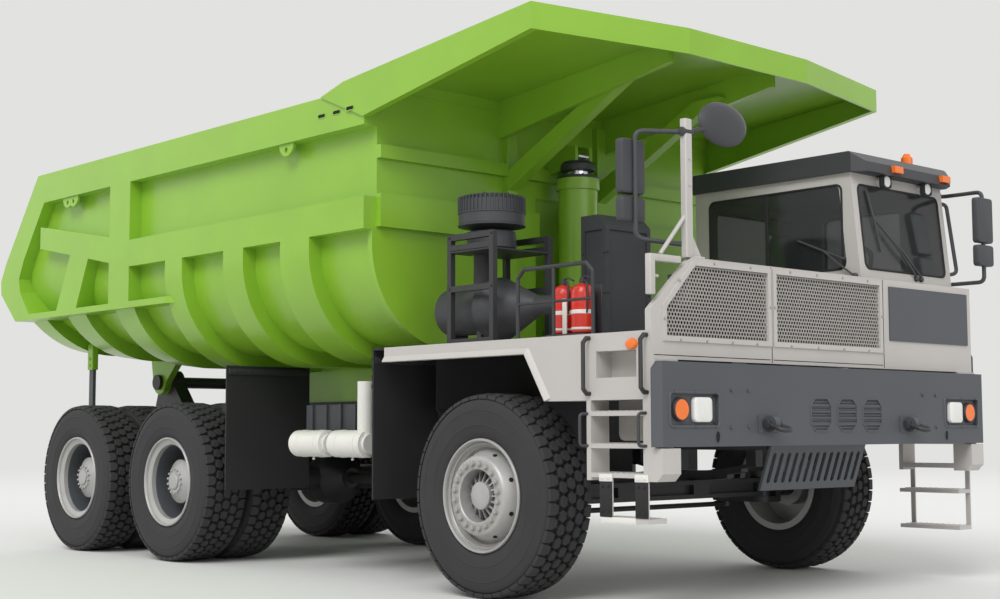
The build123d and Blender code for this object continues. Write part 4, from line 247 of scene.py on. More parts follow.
def tube(mesh, points, radius, sides=14):
    """Round bar along a path, its rings turned half-way at each corner."""
    points = [Vector(p) for p in points]
    ways = [(b - a).normalized() for a, b in zip(points, points[1:])]
    normal = ways[0].orthogonal().normalized()
    rings = []
    for i, point in enumerate(points):
        before, after = ways[max(i - 1, 0)], ways[min(i, len(ways) - 1)]
        way = (before + after).normalized()
        normal = (normal - way * normal.dot(way)).normalized()
        across = way.cross(normal)
        wide = radius / max(way.dot(after), 0.5)
        rings.append([point + (normal * cos(a) + across * sin(a)) * wide for a in angles(sides)])
    loft(mesh, rings)


def rounded_path(points, corner, steps=5):
    """Path with each corner turned by a short arc."""
    points = [Vector(p) for p in points]
    path = [points[0]]
    for before, at, after in zip(points, points[1:], points[2:]):
        start = at + (before - at).normalized() * corner
        end = at + (after - at).normalized() * corner
        for t in (k / steps for k in range(steps + 1)):
            path.append(start * (1 - t) ** 2 + at * 2 * t * (1 - t) + end * t ** 2)
    return path + [points[-1]]


def rounded_ring(width, height, corner, steps=6):
    """Rounded rectangle about the origin, as (u, v) points."""
    ring = []
    for cu, cv, start in ((1, 1, 0), (-1, 1, 90), (-1, -1, 180), (1, -1, 270)):
        for a in (radians(start + 90 * k / steps) for k in range(steps + 1)):
            ring.append((
                cu * (width / 2 - corner) + corner * cos(a),
                cv * (height / 2 - corner) + corner * sin(a),
            ))
    return ring


def oval_ring(half_u, half_v, count):
    """Oval about the origin, as (u, v) points."""
    return [(half_u * cos(a), half_v * sin(a)) for a in angles(count)]


def moulding(mesh, centre, across, up, ring, width, height):
    """Raised frame that follows a ring of (u, v) points on a plane."""
    across, up, centre = Vector(across), Vector(up), Vector(centre)
    out = across.cross(up)
    rings = []
    for grow, lift in ((0.0, 0.0), (0.12, 0.8), (0.3, 1.0), (0.7, 1.0), (0.88, 0.8), (1.0, 0.0)):
        loop = []
        for before, at, after in zip(ring[-1:] + ring[:-1], ring, ring[1:] + ring[:1]):
            way = Vector(after) - Vector(before)
            spot = Vector(at) + Vector((way.y, -way.x)).normalized() * width * grow
            loop.append(centre + across * spot.x + up * spot.y + out * height * lift)
        rings.append(loop)
    loft(mesh, rings, loop=True)


# Wheels: block-tread tyres, rim lips, nut flanges and hubs
AXLE_Z = 0.835
FRONT_X, MID_X, REAR_X = 3.33, -1.65, -3.69
WHEEL_Y, INNER_WHEEL_Y = 1.95, 1.39
TYRE_R, TREAD_ROOT_R, TYRE_SIDES = 0.835, 0.795, 112
TREAD_PITCHES, GROOVE, NECK = 46, 0.014, 0.62
SHOULDER_Y, SHOULDER_W, SHOULDER_DROP = 0.15, 0.085, 0.016
# Rows of blocks: place across, width, stagger, share of the length at the outer end
BLOCK_ROWS = ((0.0, 0.088, 0.0, NECK), (0.092, 0.088, 0.5, NECK), (0.188, 0.096, 0.0, 1.0))
# Radius and share of the block's size at its foot, edge and top
BLOCK_STEPS = ((TREAD_ROOT_R - 0.004, 1.04), (TYRE_R - 0.007, 1.0), (TYRE_R, 0.9))
TYRE_PROFILE = (
    (0.447, 0.150), (0.452, 0.205), (0.462, 0.216), (0.476, 0.218), (0.482, 0.225), (0.492, 0.226),
    (0.498, 0.231), (0.530, 0.240), (0.570, 0.2465), (0.574, 0.2500), (0.582, 0.2500), (0.586, 0.2480),
    (0.640, 0.2500), (0.690, 0.2490), (0.694, 0.2515), (0.702, 0.2512), (0.706, 0.2480), (0.735, 0.2440),
    (0.762, 0.2370), (0.780, 0.2270), (0.792, 0.2100), (TREAD_ROOT_R, 0.1900), (TREAD_ROOT_R, 0.1000),
)


def tread_block(mesh, centre, angle, y, corners):
    """One rubber block: corners are (along the tread, across) offsets from its middle."""
    rings = []
    for radius, shrink in BLOCK_STEPS:
        ring = []
        for along, over in corners:
            a = angle + along * shrink / TYRE_R
            drop = SHOULDER_DROP * max(abs(y + over) - SHOULDER_Y, 0.0) / SHOULDER_W
            r = radius - (drop if radius > TREAD_ROOT_R else 0.0)
            ring.append(centre + Vector((r * cos(a), y + over * shrink, r * sin(a))))
        rings.append(ring)
    loft(mesh, rings)


def tyre(mesh, centre):
    """Whole tyre about the Y axis: its carcass, then rows of blocks."""
    outline = [*TYRE_PROFILE, *((r, -w) for r, w in reversed(TYRE_PROFILE))]
    loft(mesh, [
        [centre + Vector((r * cos(a), w, r * sin(a))) for a in angles(TYRE_SIDES)]
        for r, w in outline
    ], loop=True)
    pitch = 2 * pi / TREAD_PITCHES
    half = (pitch * TYRE_R - GROOVE) / 2
    for place, width, stagger, shoulder in BLOCK_ROWS:
        over = (width - GROOVE) / 2
        corners = [
            (half * shoulder, over), (-half * shoulder, over), (-half, 0.0),
            (-half * NECK, -over), (half * NECK, -over), (half, 0.0),
        ]
        for side in (1, -1) if place else (1,):
            facing = [(along, across * side) for along, across in corners]
            lag = stagger + (0.25 if side < 0 else 0.0)
            for k in range(TREAD_PITCHES):
                tread_block(mesh, centre, (k + lag) * pitch, side * place, facing)


def tyres(name, centres, body, node):
    """Tyres of one wheel body, in place of their plain solid."""
    mesh = bmesh.new()
    for centre in centres:
        tyre(mesh, centre)
    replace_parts(piece(name, mesh, "tyre_rubber", body, crease=28.0), node)


RIM_FACE_Y, RIM_SIDES = 2.165, 96
RIM_LIP = ((0.440, -0.004), (0.443, 0.016), (0.450, 0.025), (0.460, 0.025), (0.467, 0.014), (0.464, 0.001))
NUT = ((0.029, 0.0), (0.029, 0.005), (0.023, 0.007), (0.023, 0.026), (0.018, 0.032), (0.005, 0.033))
NUTS = 20


def on_axle(x, side, y):
    """Place on a wheel's axis, at a distance y from the truck's middle."""
    return Vector((x, side * y, AXLE_Z))


def ring_places(centre, radius, count):
    """Places on an upright circle about a wheel's axis."""
    return [centre + Vector((radius * cos(a), 0, radius * sin(a))) for a in angles(count, 0.5)]


def rim_lip(mesh, x, side):
    """Rolled bright edge of a rim, over the tyre's bead."""
    lathe(mesh, on_axle(x, side, RIM_FACE_Y), ACROSS * side, RIM_LIP, RIM_SIDES, loop=True)


FRONT_DISC_Y, FRONT_CAP_Y, FLANGE_H = 2.070, 2.175, 0.150
FRONT_NUT_R = 0.264
FRONT_CAP = ((0.113, 0.0), (0.112, 0.008), (0.100, 0.014), (0.02, 0.016))
DISH_STEPS = (
    ((0.437, 0.073), (0.429, 0.078), (0.421, 0.068), (0.426, 0.054)),
    ((0.416, 0.038), (0.407, 0.042), (0.399, 0.032), (0.404, 0.019)),
)
WHEEL_FLANGE = (
    (0.389, 0.000), (0.378, 0.018), (0.330, 0.122), (0.318, 0.143), (0.304, FLANGE_H),
    (0.224, FLANGE_H), (0.215, FLANGE_H - 0.007), (0.212, 0.000),
)
# Darker liner of the hub well between the ribs: painted shade of the recess
HUB_BOWL = ((0.2115, 0.001), (0.2105, 0.006), (0.1175, 0.076), (0.1155, 0.070))
HUB_RIBS, HUB_RIB_T = 16, 0.014
HUB_RIB = ((0.205, 2.062), (0.205, 2.112), (0.112, 2.162), (0.112, 2.130))
# Hand holes are flat near-black discs on the dish: painted shade standing in for the openings
HAND_HOLES, HAND_HOLE_R, HAND_HOLE_H = 8, 0.354, 0.070
HAND_HOLE = ((0.019, -0.002), (0.019, 0.003), (0.015, 0.004), (0.004, 0.002))
DISH_SLOPE = (0.91, 0.41)


def hub_ribs(mesh, side):
    """Upright ribs in the hub well of a front wheel."""
    for a in angles(HUB_RIBS):
        radial = Vector((cos(a), 0, sin(a)))
        aside = (ACROSS * side).cross(radial) * HUB_RIB_T / 2
        corners = [on_axle(FRONT_X, side, y) + radial * r for r, y in HUB_RIB]
        loft(mesh, [[corner - aside for corner in corners], [corner + aside for corner in corners]])


def front_wheel(side):
    """Tyre, rim lip and steps, raised nut flange, ribbed hub well, cap and hand holes of a front wheel. The
    well's darker liner and the hand holes' near-black discs are painted shade.
    """
    wheel, out = f"front_{SIDE_NAME[side]}", ACROSS * side
    body = "wheel_" + wheel
    tyres(wheel + "_tread", [on_axle(FRONT_X, side, WHEEL_Y)], body, wheel + "_tyre")
    flange, nuts, ribs, holes, bowl = meshes(5)
    disc = on_axle(FRONT_X, side, FRONT_DISC_Y)
    rim_lip(flange, FRONT_X, side)
    for profile in (*DISH_STEPS, WHEEL_FLANGE):
        lathe(flange, disc, out, profile, RIM_SIDES, loop=True)
    lathe(flange, on_axle(FRONT_X, side, FRONT_CAP_Y), out, FRONT_CAP)
    for place in ring_places(disc + out * FLANGE_H, FRONT_NUT_R, NUTS):
        lathe(nuts, place, out, NUT, sides=12)
    hub_ribs(ribs, side)
    # Darker liner over the hub well, painted shade
    lathe(bowl, disc, out, HUB_BOWL, loop=True)
    # Near-black discs on the dish as painted shade in the hand holes
    level = disc + out * HAND_HOLE_H
    for place in ring_places(level, HAND_HOLE_R, HAND_HOLES):
        facing = (place - level).normalized() * DISH_SLOPE[0] + out * DISH_SLOPE[1]
        lathe(holes, place, facing, HAND_HOLE, sides=16)
    piece(wheel + "_flange", flange, "rim_silver", body)
    piece(wheel + "_nuts", nuts, "mesh_paint", body)
    piece(wheel + "_hub_ribs", ribs, "rim_silver", body)
    piece(wheel + "_hub_bowl_shade", bowl, "spring_steel", body)
    piece(wheel + "_hand_hole_shades", holes, "near_black_and_hole_shade", body)


REAR_DISC_Y, REAR_CAP_Y = 1.670, 2.090
REAR_NUT_R, CAP_SCREW_R, CAP_SCREWS = 0.282, 0.125, 14
REAR_CAP = ((0.085, 0.0), (0.085, 0.012), (0.075, 0.02), (0.02, 0.022))
# Dark slate liner over the inside of the barrel and the disc: painted shade of the deep recess behind the lip
REAR_BARREL = (
    (0.3918, 0.418), (0.386, 0.414), (0.386, 0.008), (0.325, 0.005), (0.325, 0.0005), (0.3918, 0.0005),
)


def rear_wheel(axle, x, side):
    """Twin tyres, rim lip, barrel lined in dark slate as painted shade of its deep recess, nut ring and
    drive-flange screws of a rear wheel pair.
    """
    wheel, out = f"{axle}_{SIDE_NAME[side]}", ACROSS * side
    body = "wheel_" + wheel
    tyres(wheel + "_treads", [on_axle(x, side, y) for y in (WHEEL_Y, INNER_WHEEL_Y)], body, wheel + "_tyres")
    nuts, lip, barrel = meshes(3)
    disc, cap = on_axle(x, side, REAR_DISC_Y), on_axle(x, side, REAR_CAP_Y)
    rim_lip(lip, x, side)
    # Barrel lined in dark slate as painted shade
    lathe(barrel, disc, out, REAR_BARREL, RIM_SIDES, loop=True)
    for place in ring_places(disc, REAR_NUT_R, NUTS):
        lathe(nuts, place, out, NUT, sides=12)
    hex_heads(nuts, ring_places(cap, CAP_SCREW_R, CAP_SCREWS), out, 0.011, 0.014)
    lathe(nuts, cap, out, REAR_CAP)
    piece(wheel + "_nuts", nuts, "rim_silver", body)
    piece(wheel + "_rim_lip", lip, "rim_silver", body)
    piece(wheel + "_rim_barrel_shade", barrel, "slate_paint", body)


for wheel_side in SIDES:
    front_wheel(wheel_side)
    rear_wheel("mid", MID_X, wheel_side)
    rear_wheel("rear", REAR_X, wheel_side)


# Nose: fine perforated grilles before a dark core, frame screws, corner bars, panel seams, painted shade
# along the fold
NOSE_X, FRAME_X = 5.230, 5.244
RIGHT_GRILLE = [(-2.040, 2.060), (-0.830, 2.060), (-0.830, 2.600), (-1.710, 2.600), (-2.040, 2.306)]
MID_GRILLE = [(-0.720, 2.060), (0.720, 2.060), (0.720, 2.600), (-0.720, 2.600)]
HOLE_PITCH, HOLE_R = 0.034, 0.0136
FRAME_SCREW_OUT, FRAME_SCREW_PITCH = 0.028, 0.3


def edges_of(outline):
    """Each edge of an outline with its length."""
    for (y0, z0), (y1, z1) in zip(outline, outline[1:] + outline[:1]):
        yield y0, z0, y1 - y0, z1 - z0, hypot(y1 - y0, z1 - z0)


def inside(outline, y, z, margin):
    """Whether a point lies inside a counter-clockwise outline by a margin."""
    return all(
        (along_y * (z - z0) - along_z * (y - y0)) / length >= margin
        for y0, z0, along_y, along_z, length in edges_of(outline)
    )


def perforated(mesh, outline, x, depth, pitch, hole_r):
    """Sheet of six-sided cells with a six-sided hole in each, filling an outline on a cross plane."""
    ys, zs = zip(*outline)
    row_h, cell_r = pitch * sqrt(3) / 2, pitch / sqrt(3)
    rows = int((max(zs) - min(zs)) / row_h)
    columns = int((max(ys) - min(ys)) / pitch) + 1
    for row in range(rows + 1):
        for column in range(columns + 1):
            y = min(ys) + (column + 0.5 * (row % 2)) * pitch
            z = min(zs) + (row + 0.5) * row_h
            if not inside(outline, y, z, -0.3 * pitch):
                continue
            outer, inner, deep = (
                [mesh.verts.new((at, y + r * cos(a), z + r * sin(a))) for a in angles(6, 0.5)]
                for at, r in ((x, cell_r), (x, hole_r), (x - depth, hole_r))
            )
            for k in range(6):
                j = (k + 1) % 6
                mesh.faces.new((outer[k], outer[j], inner[j], inner[k]))
                mesh.faces.new((inner[k], inner[j], deep[j], deep[k]))
    bmesh.ops.remove_doubles(mesh, verts=mesh.verts, dist=0.0004)


def nose_grilles():
    """Perforated sheets in place of the coarse grille solids, and the screws of their frames."""
    sheets, screws = meshes(2)
    for outline in (RIGHT_GRILLE, MID_GRILLE):
        perforated(sheets, outline, NOSE_X - 0.006, 0.005, HOLE_PITCH, HOLE_R)
        for y0, z0, along_y, along_z, length in edges_of(outline):
            out_y, out_z = along_z / length * FRAME_SCREW_OUT, -along_y / length * FRAME_SCREW_OUT
            shares = spread(0.0, 1.0, max(int(length / FRAME_SCREW_PITCH), 1))
            spots = [(FRAME_X, y0 + along_y * t + out_y, z0 + along_z * t + out_z) for t in shares]
            hex_heads(screws, spots, AHEAD, 0.009, 0.008)
    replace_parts(piece("grille_sheets", sheets, "mesh_paint"), "grilles")
    piece("grille_screws", screws, "mesh_paint")


def nose_corner_frame():
    """Square bars that close the nose's cut corner, with a stub on the upright."""
    mesh = bmesh.new()
    box(mesh, (5.172, -2.200, 2.360), (5.228, -2.142, 2.660), 0.006)
    box(mesh, (5.172, -2.142, 2.610), (5.228, -1.850, 2.660), 0.006)
    tube(mesh, [(5.200, -2.170, 2.500), (5.200, -2.090, 2.500)], 0.012)
    piece("nose_corner_frame", mesh, "grey_paint")


CORE_X, CORE_BACK, FIN_PITCH, FIN_H = 5.196, 0.012, 0.016, 0.006
# Panels of the core: y from and to, z from and to
CORE_PANELS = (
    (-2.040, -0.830, 2.064, 2.300), (-1.700, -0.830, 2.300, 2.595), (-0.720, 0.720, 2.064, 2.595),
)


def radiator_fins():
    """Dark folded core behind both grilles."""
    mesh = bmesh.new()
    for low, high, base, top in CORE_PANELS:
        count = int((high - low - 0.01) / FIN_PITCH)
        front = [(CORE_X + FIN_H * (k % 2), low + 0.005 + k * FIN_PITCH) for k in range(count + 1)]
        ring = front + [(CORE_X - CORE_BACK, front[-1][1]), (CORE_X - CORE_BACK, front[0][1])]
        loft(mesh, [[(x, y, z) for x, y in ring] for z in (base, top)])
    piece("radiator_fins", mesh, "near_black_and_hole_shade")


SEAM_YS, SEAM_Z, FOLD_Z = (-0.775, 0.785), (1.892, 2.654), 1.915
SEAM_BACK_X, SEAM_FACE_X = NOSE_X - 0.002, NOSE_X + 0.0012


def nose_seams_and_fold_shade():
    """Dark joints between the nose panels, and painted shade as a dark line along the fold above the bumper.
    """
    mesh = bmesh.new()
    for y in SEAM_YS:
        box(mesh, (SEAM_BACK_X, y - 0.004, SEAM_Z[0]), (SEAM_FACE_X, y + 0.004, SEAM_Z[1]), 0.0005)
    # Near-black strips along the fold: painted shade of the crease
    for low, high in ((-2.170, SEAM_YS[0] - 0.02), (SEAM_YS[0] + 0.02, SEAM_YS[1] - 0.02)):
        box(mesh, (SEAM_BACK_X, low, FOLD_Z - 0.003), (SEAM_FACE_X, high, FOLD_Z + 0.003), 0.0005)
    piece("nose_seams_and_fold_shade", mesh, "near_black_and_hole_shade")


nose_grilles()
nose_corner_frame()
radiator_fins()
nose_seams_and_fold_shade()


# Bumper: lamp frames, bolts, vent mesh, shackles on the tow eyes
BUMPER_X, LAMP_RECESS_X = 5.330, 5.300
LAMP_BOX_Y, LAMP_BOX_Z = (1.570, 2.110), (1.400, 1.630)
LAMP_SCREW_YS, LAMP_SCREW_ZS = (1.592, 2.096), (1.420, 1.612)
LENS_Y, TURN_LAMP_Y, LAMP_Z = 1.748, 1.985, 1.515
# Reach ahead of the recess and inset of the headlamp lens's rings
LENS_STEPS = ((0.002, 0.0), (0.030, 0.0), (0.037, 0.004), (0.041, 0.014), (0.042, 0.04))
VENT_YS, VENT_Z, VENT_HALF, VENT_CUT = (-0.280, 0.080, 0.440), 1.485, (0.130, 0.125), 0.055
TOW_EYE = (5.368, 0.970, 1.410)
EYE_BOLTS = ((1.414, 1.662), (1.210, 1.662), (1.420, 1.382), (1.210, 1.386))
CRANK_HOLE = (1.581, 1.312)


def bumper_details():
    """Mouldings, bolts and mesh on the bumper's face, and near-black ovals of painted shade for the crank
    holes.
    """
    frames, bolts, mesh, holes = meshes(4)
    wide, tall = LAMP_BOX_Y[1] - LAMP_BOX_Y[0], LAMP_BOX_Z[1] - LAMP_BOX_Z[0]
    oval = oval_ring(0.024, 0.042, 28)
    for side in SIDES:
        middle = side * sum(LAMP_BOX_Y) / 2
        ring = rounded_ring(wide, tall, 0.02)
        moulding(frames, (BUMPER_X, middle, sum(LAMP_BOX_Z) / 2), ACROSS, UP, ring, 0.022, 0.008)
        rows = (LAMP_BOX_Z[0] - 0.012, LAMP_BOX_Z[1] + 0.012)
        spots = [(BUMPER_X + 0.006, middle + y, z) for y in (-0.23, 0.0, 0.23) for z in rows]
        hex_heads(bolts, spots, AHEAD, 0.008, 0.008)
        hex_heads(bolts, [(BUMPER_X, side * y, z) for y, z in EYE_BOLTS], AHEAD, 0.013, 0.014)
        y, z = side * CRANK_HOLE[0], CRANK_HOLE[1]
        moulding(frames, (BUMPER_X, y, z), ACROSS, UP, oval, 0.007, 0.004)
        # Flat near-black oval sheet: painted shade standing in for the crank hole
        loft(holes, [[(BUMPER_X + lift, y + u, z + v) for u, v in oval] for lift in (0.0, 0.001)])
    w, h = VENT_HALF
    for y in VENT_YS:
        outline = octagon((y - w, VENT_Z - h), (y + w, VENT_Z + h), VENT_CUT)
        perforated(mesh, outline, BUMPER_X - 0.004, 0.003, 0.024, 0.0088)
        outline = octagon((-w, -h), (w, h), VENT_CUT)
        moulding(frames, (BUMPER_X, y, VENT_Z), ACROSS, UP, outline, 0.016, 0.006)
    piece("bumper_frames", frames, "slate_paint")
    piece("bumper_bolts", bolts, "slate_paint")
    piece("vent_mesh", mesh, "slate_paint")
    piece("crank_hole_shades", holes, "near_black_and_hole_shade")


def lamp_details(side):
    """Rim of the round lamp, and the clear lens of the square one with its flutes and corner screws."""
    rims, lens = meshes(2)
    spot = (LAMP_RECESS_X, side * TURN_LAMP_Y, LAMP_Z)
    moulding(rims, spot, ACROSS, UP, oval_ring(0.076, 0.076, 36), 0.014, 0.034)
    screws = [(LAMP_RECESS_X, side * y, z) for y in LAMP_SCREW_YS for z in LAMP_SCREW_ZS]
    hex_heads(rims, screws, AHEAD, 0.008, 0.008)
    middle = side * LENS_Y
    rings = []
    for reach, inset in LENS_STEPS:
        outline = rounded_ring(0.204 - 2 * inset, 0.186 - 2 * inset, 0.036 - inset * 0.5)
        rings.append([(LAMP_RECESS_X + reach, middle + u, LAMP_Z + v) for u, v in outline])
    loft(lens, rings)
    for y in (middle + k * 0.02 for k in range(-3, 4)):
        low = (LAMP_RECESS_X + 0.0415, y - 0.002, LAMP_Z - 0.06)
        box(lens, low, (LAMP_RECESS_X + 0.0435, y + 0.002, LAMP_Z + 0.06), 0.0006)
    piece(f"lamp_rims_{SIDE_NAME[side]}", rims, "dark_plastic")
    piece(f"lamp_lens_{SIDE_NAME[side]}", lens, "lamp_glass")


SHACKLE_PIN = (
    (0.014, 0.0), (0.034, 0.004), (0.034, 0.022), (0.0195, 0.024),
    (0.0195, 0.156), (0.034, 0.158), (0.034, 0.176), (0.014, 0.180),
)
SHACKLE_BOW = ((0, -0.052, 0), (0.150, -0.066, -0.050), (0.150, 0.066, -0.050), (0, 0.052, 0))


def shackle(side):
    """Pin with heads through the tow eye's hole, and a bow that reaches ahead of it."""
    mesh = bmesh.new()
    x, y, z = TOW_EYE
    centre = Vector((x, side * y, z))
    lathe(mesh, centre - ACROSS * 0.090, ACROSS, SHACKLE_PIN, sides=20)
    tube(mesh, rounded_path([centre + Vector(p) for p in SHACKLE_BOW], 0.06), 0.019)
    piece(f"tow_shackle_{SIDE_NAME[side]}", mesh, "frame_black")


bumper_details()
for lamp_side in SIDES:
    lamp_details(lamp_side)
    shackle(lamp_side)


# Deck: fire extinguishers, ribs of the air cleaner's cap, bolts of the exhaust box and the cleaner's cage
DECK_Z = 2.095
EXTINGUISHER_XS, EXTINGUISHER_Y, HOLDER_HALF = (4.030, 4.240), -1.900, 0.11
BOTTLE_R, BOTTLE_H, BAND_R = 0.095, 0.400, 0.098
BOTTLE = (
    (BOTTLE_R * 0.8, 0.0), (BOTTLE_R * 0.97, 0.012), (BOTTLE_R, 0.03), (BOTTLE_R, BOTTLE_H - 0.08),
    (BOTTLE_R * 0.93, BOTTLE_H - 0.045), (BOTTLE_R * 0.7, BOTTLE_H - 0.015), (BOTTLE_R * 0.3, BOTTLE_H),
)
# Lower and upper height of the white bands
BOTTLE_BANDS = ((0.155, 0.185), (0.030, 0.046))
VALVE = ((0.028, -0.01), (0.028, 0.03), (0.020, 0.035), (0.020, 0.05), (0.008, 0.055))
VALVE_LEVER = ((-0.01, 0, 0.045), (0.05, 0, 0.055), (0.11, 0, 0.03))
VALVE_HOSE = ((0.02, -0.01, 0.02), (0.085, -0.04, 0.01), (0.105, -0.05, -0.12), (0.088, -0.045, -0.24))


def extinguishers():
    """Two bottles with bands, valves and a holder, in place of the plain solid."""
    bottles, bands, holder = meshes(3)
    y, half, foot_z = EXTINGUISHER_Y, HOLDER_HALF, DECK_Z + 0.03
    low, high = EXTINGUISHER_XS[0] - half, EXTINGUISHER_XS[1] + half
    box(holder, (low, y - half, DECK_Z), (high, y + half, foot_z), 0.008)
    box(holder, (low, y + 0.10, DECK_Z + 0.02), (high, y + half, DECK_Z + 0.42), 0.003)
    for x in EXTINGUISHER_XS:
        foot = Vector((x, y, foot_z))
        neck = foot + UP * BOTTLE_H
        lathe(bottles, foot, UP, BOTTLE)
        for rise, top in BOTTLE_BANDS:
            band = [(BOTTLE_R, rise), (BAND_R, rise + 0.003), (BAND_R, top), (BOTTLE_R, top + 0.003)]
            lathe(bands, foot, UP, band)
        lathe(holder, neck, UP, VALVE, sides=20)
        tube(holder, rounded_path([neck + Vector(p) for p in VALVE_LEVER], 0.02), 0.007)
        tube(holder, rounded_path([neck + Vector(p) for p in VALVE_HOSE], 0.04), 0.008)
    between = sum(EXTINGUISHER_XS) / 2
    box(bands, (between - 0.022, y - 0.108, foot_z), (between + 0.022, y - 0.09, DECK_Z + 0.31), 0.004)
    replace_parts(piece("extinguisher_bottles", bottles, "red_paint"), "extinguishers")
    piece("extinguisher_bands", bands, "white_paint")
    piece("extinguisher_holder", holder, "frame_black")


CLEANER = Vector((2.890, -1.650, 0))
CAP_Z, CAP_R, CAP_RIBS, LID_SCREW_R = (3.126, 3.400), 0.290, 48, 0.2
CAP_RIB = ((CAP_R - 0.02, -0.008), (CAP_R + 0.008, -0.005), (CAP_R + 0.008, 0.005), (CAP_R - 0.02, 0.008))
CAP_BAND = ((CAP_R - 0.01, 0.0), (CAP_R + 0.007, 0.002), (CAP_R + 0.007, 0.014), (CAP_R - 0.01, 0.016))


def level_places(centre, radius, count):
    """Places on a level circle."""
    return [centre + Vector((radius * cos(a), radius * sin(a), 0)) for a in angles(count)]


def cleaner_cap():
    """Upright ribs round the intake cap, its bands and its lid screws."""
    mesh = bmesh.new()
    low, high = CAP_Z
    for a in angles(CAP_RIBS):
        radial = Vector((cos(a), sin(a), 0))
        foot = [CLEANER + radial * r + UP.cross(radial) * w for r, w in CAP_RIB]
        loft(mesh, [[corner + UP * z for corner in foot] for z in (low + 0.13, high - 0.012)])
    for rise in (0.004, 0.112):
        lathe(mesh, CLEANER + UP * (low + rise), UP, CAP_BAND, sides=64)
    hex_heads(mesh, level_places(CLEANER + UP * high, LID_SCREW_R, 6), UP, 0.014, 0.014)
    piece("cleaner_cap_ribs", mesh, "dark_plastic")


BOX_X, BOX_Y, BOX_BOLT_ZS, BOX_BOLT_IN = (3.380, 3.680), (-1.040, -0.470), (2.195, 2.545, 2.895), 0.022


def exhaust_bolts():
    """Bolts down the edges of the exhaust box's front and right panels."""
    mesh = bmesh.new()
    xs, ys = ((low + BOX_BOLT_IN, high - BOX_BOLT_IN) for low, high in (BOX_X, BOX_Y))
    hex_heads(mesh, [(BOX_X[1], y, z) for y in ys for z in BOX_BOLT_ZS], AHEAD, 0.010, 0.010)
    hex_heads(mesh, [(x, BOX_Y[0], z) for x in xs for z in BOX_BOLT_ZS], -ACROSS, 0.010, 0.010)
    piece("exhaust_bolts", mesh, "frame_black")


CAGE_X, CAGE_Y, CAGE_BOLT_ZS, CAGE_BAR = (2.700, 3.290), (-2.000, -1.300), (3.020, 2.575), 0.05
FOOT_HALF, FOOT_T, FOOT_BOLT = 0.055, 0.012, 0.042


def cage_bolts():
    """Foot plates and bolts of the cleaner's cage."""
    mesh = bmesh.new()
    for x, in_x in zip(CAGE_X, (1, -1)):
        for y, in_y in zip(CAGE_Y, (1, -1)):
            foot = Vector((x + in_x * CAGE_BAR / 2, y + in_y * CAGE_BAR / 2, DECK_Z))
            plate = Vector((FOOT_HALF, FOOT_HALF, 0))
            box(mesh, foot - plate, foot + plate + UP * FOOT_T, 0.003)
            spots = [foot + Vector((u * FOOT_BOLT, v * FOOT_BOLT, FOOT_T)) for u in SIDES for v in SIDES]
            hex_heads(mesh, spots, UP, 0.008, 0.008)
            hex_heads(mesh, [(foot.x, y, z) for z in CAGE_BOLT_ZS], ACROSS * -in_y, 0.010, 0.010)
    piece("cage_bolts", mesh, "frame_black")


extinguishers()
cleaner_cap()
exhaust_bolts()
cage_bolts()


# Cab: window gaskets, door handle, wipers, grab bar, work lamps, and the fenders' marker lenses
GASKET_W, GASKET_H, GASKET_CORNER = 0.02, 0.010, 0.07
DOOR_HANDLE = ((3.68, 2.165, 2.545), (3.68, 2.215, 2.545), (3.79, 2.215, 2.545), (3.79, 2.165, 2.545))
SCREEN_FOOT, SCREEN_BACK, SCREEN_RISE = (5.130, 2.095), 0.150, 1.525


def on_screen(y, z):
    """A place on the face of the leaning cab front."""
    x, foot_z = SCREEN_FOOT
    return Vector((x - SCREEN_BACK * (z - foot_z) / SCREEN_RISE, y, z))


def gasket(mesh, centre, across, up, width, height):
    """Rubber frame along the inside of a window's edge."""
    moulding(mesh, centre, across, up, rounded_ring(width, height, GASKET_CORNER), -GASKET_W, GASKET_H)


def cab_gaskets():
    """Rubber frames round the windows, the right window's bar and the door's handle."""
    cab, door = meshes(2)
    low, high = on_screen(1.43, 2.760), on_screen(1.43, 3.530)
    gasket(cab, (low + high) / 2, ACROSS, (high - low).normalized(), 1.30, (high - low).length)
    gasket(cab, (4.145, 0.700, 3.145), AHEAD, UP, 1.51, 0.77)
    gasket(cab, (3.220, 1.430, 3.155), -ACROSS, UP, 0.96, 0.63)
    box(cab, (4.05, 0.690, 2.785), (4.085, 0.706, 3.505), 0.004)
    gasket(door, (4.120, 2.160, 3.080), -AHEAD, UP, 0.90, 0.76)
    box(door, (3.66, 2.160, 2.52), (3.80, 2.184, 2.57), 0.006)
    tube(door, rounded_path(DOOR_HANDLE, 0.02), 0.009)
    piece("cab_gaskets", cab, "flap_rubber")
    piece("door_gasket_handle", door, "flap_rubber", "cab_door")


SPINDLE = ((0.026, -0.01), (0.026, 0.022), (0.016, 0.030), (0.006, 0.032))
# Holder and both blade ends, on the screen as (y, z); spindle, holder and ends at the side as (x, z)
FRONT_WIPER = ((0.98, 3.205), (0.906, 3.474), (1.040, 2.930))
SIDE_WIPER_Y, SIDE_WIPER = 0.700, ((5.020, 2.700), (4.700, 2.945), (4.420, 3.060), (4.920, 2.850))


def wiper(mesh, feet, hold, start, end, out):
    """Arms from their spindles to the holder of a blade that lies on the glass from start to end."""
    for foot in feet:
        lathe(mesh, foot, out, SPINDLE, sides=16)
        tube(mesh, [foot + out * 0.022, (foot + hold) / 2 + out * 0.045, hold + out * 0.026], 0.009, sides=8)
    tube(mesh, [start + out * 0.010, (start + end) / 2 + out * 0.018, end + out * 0.010], 0.011, sides=8)


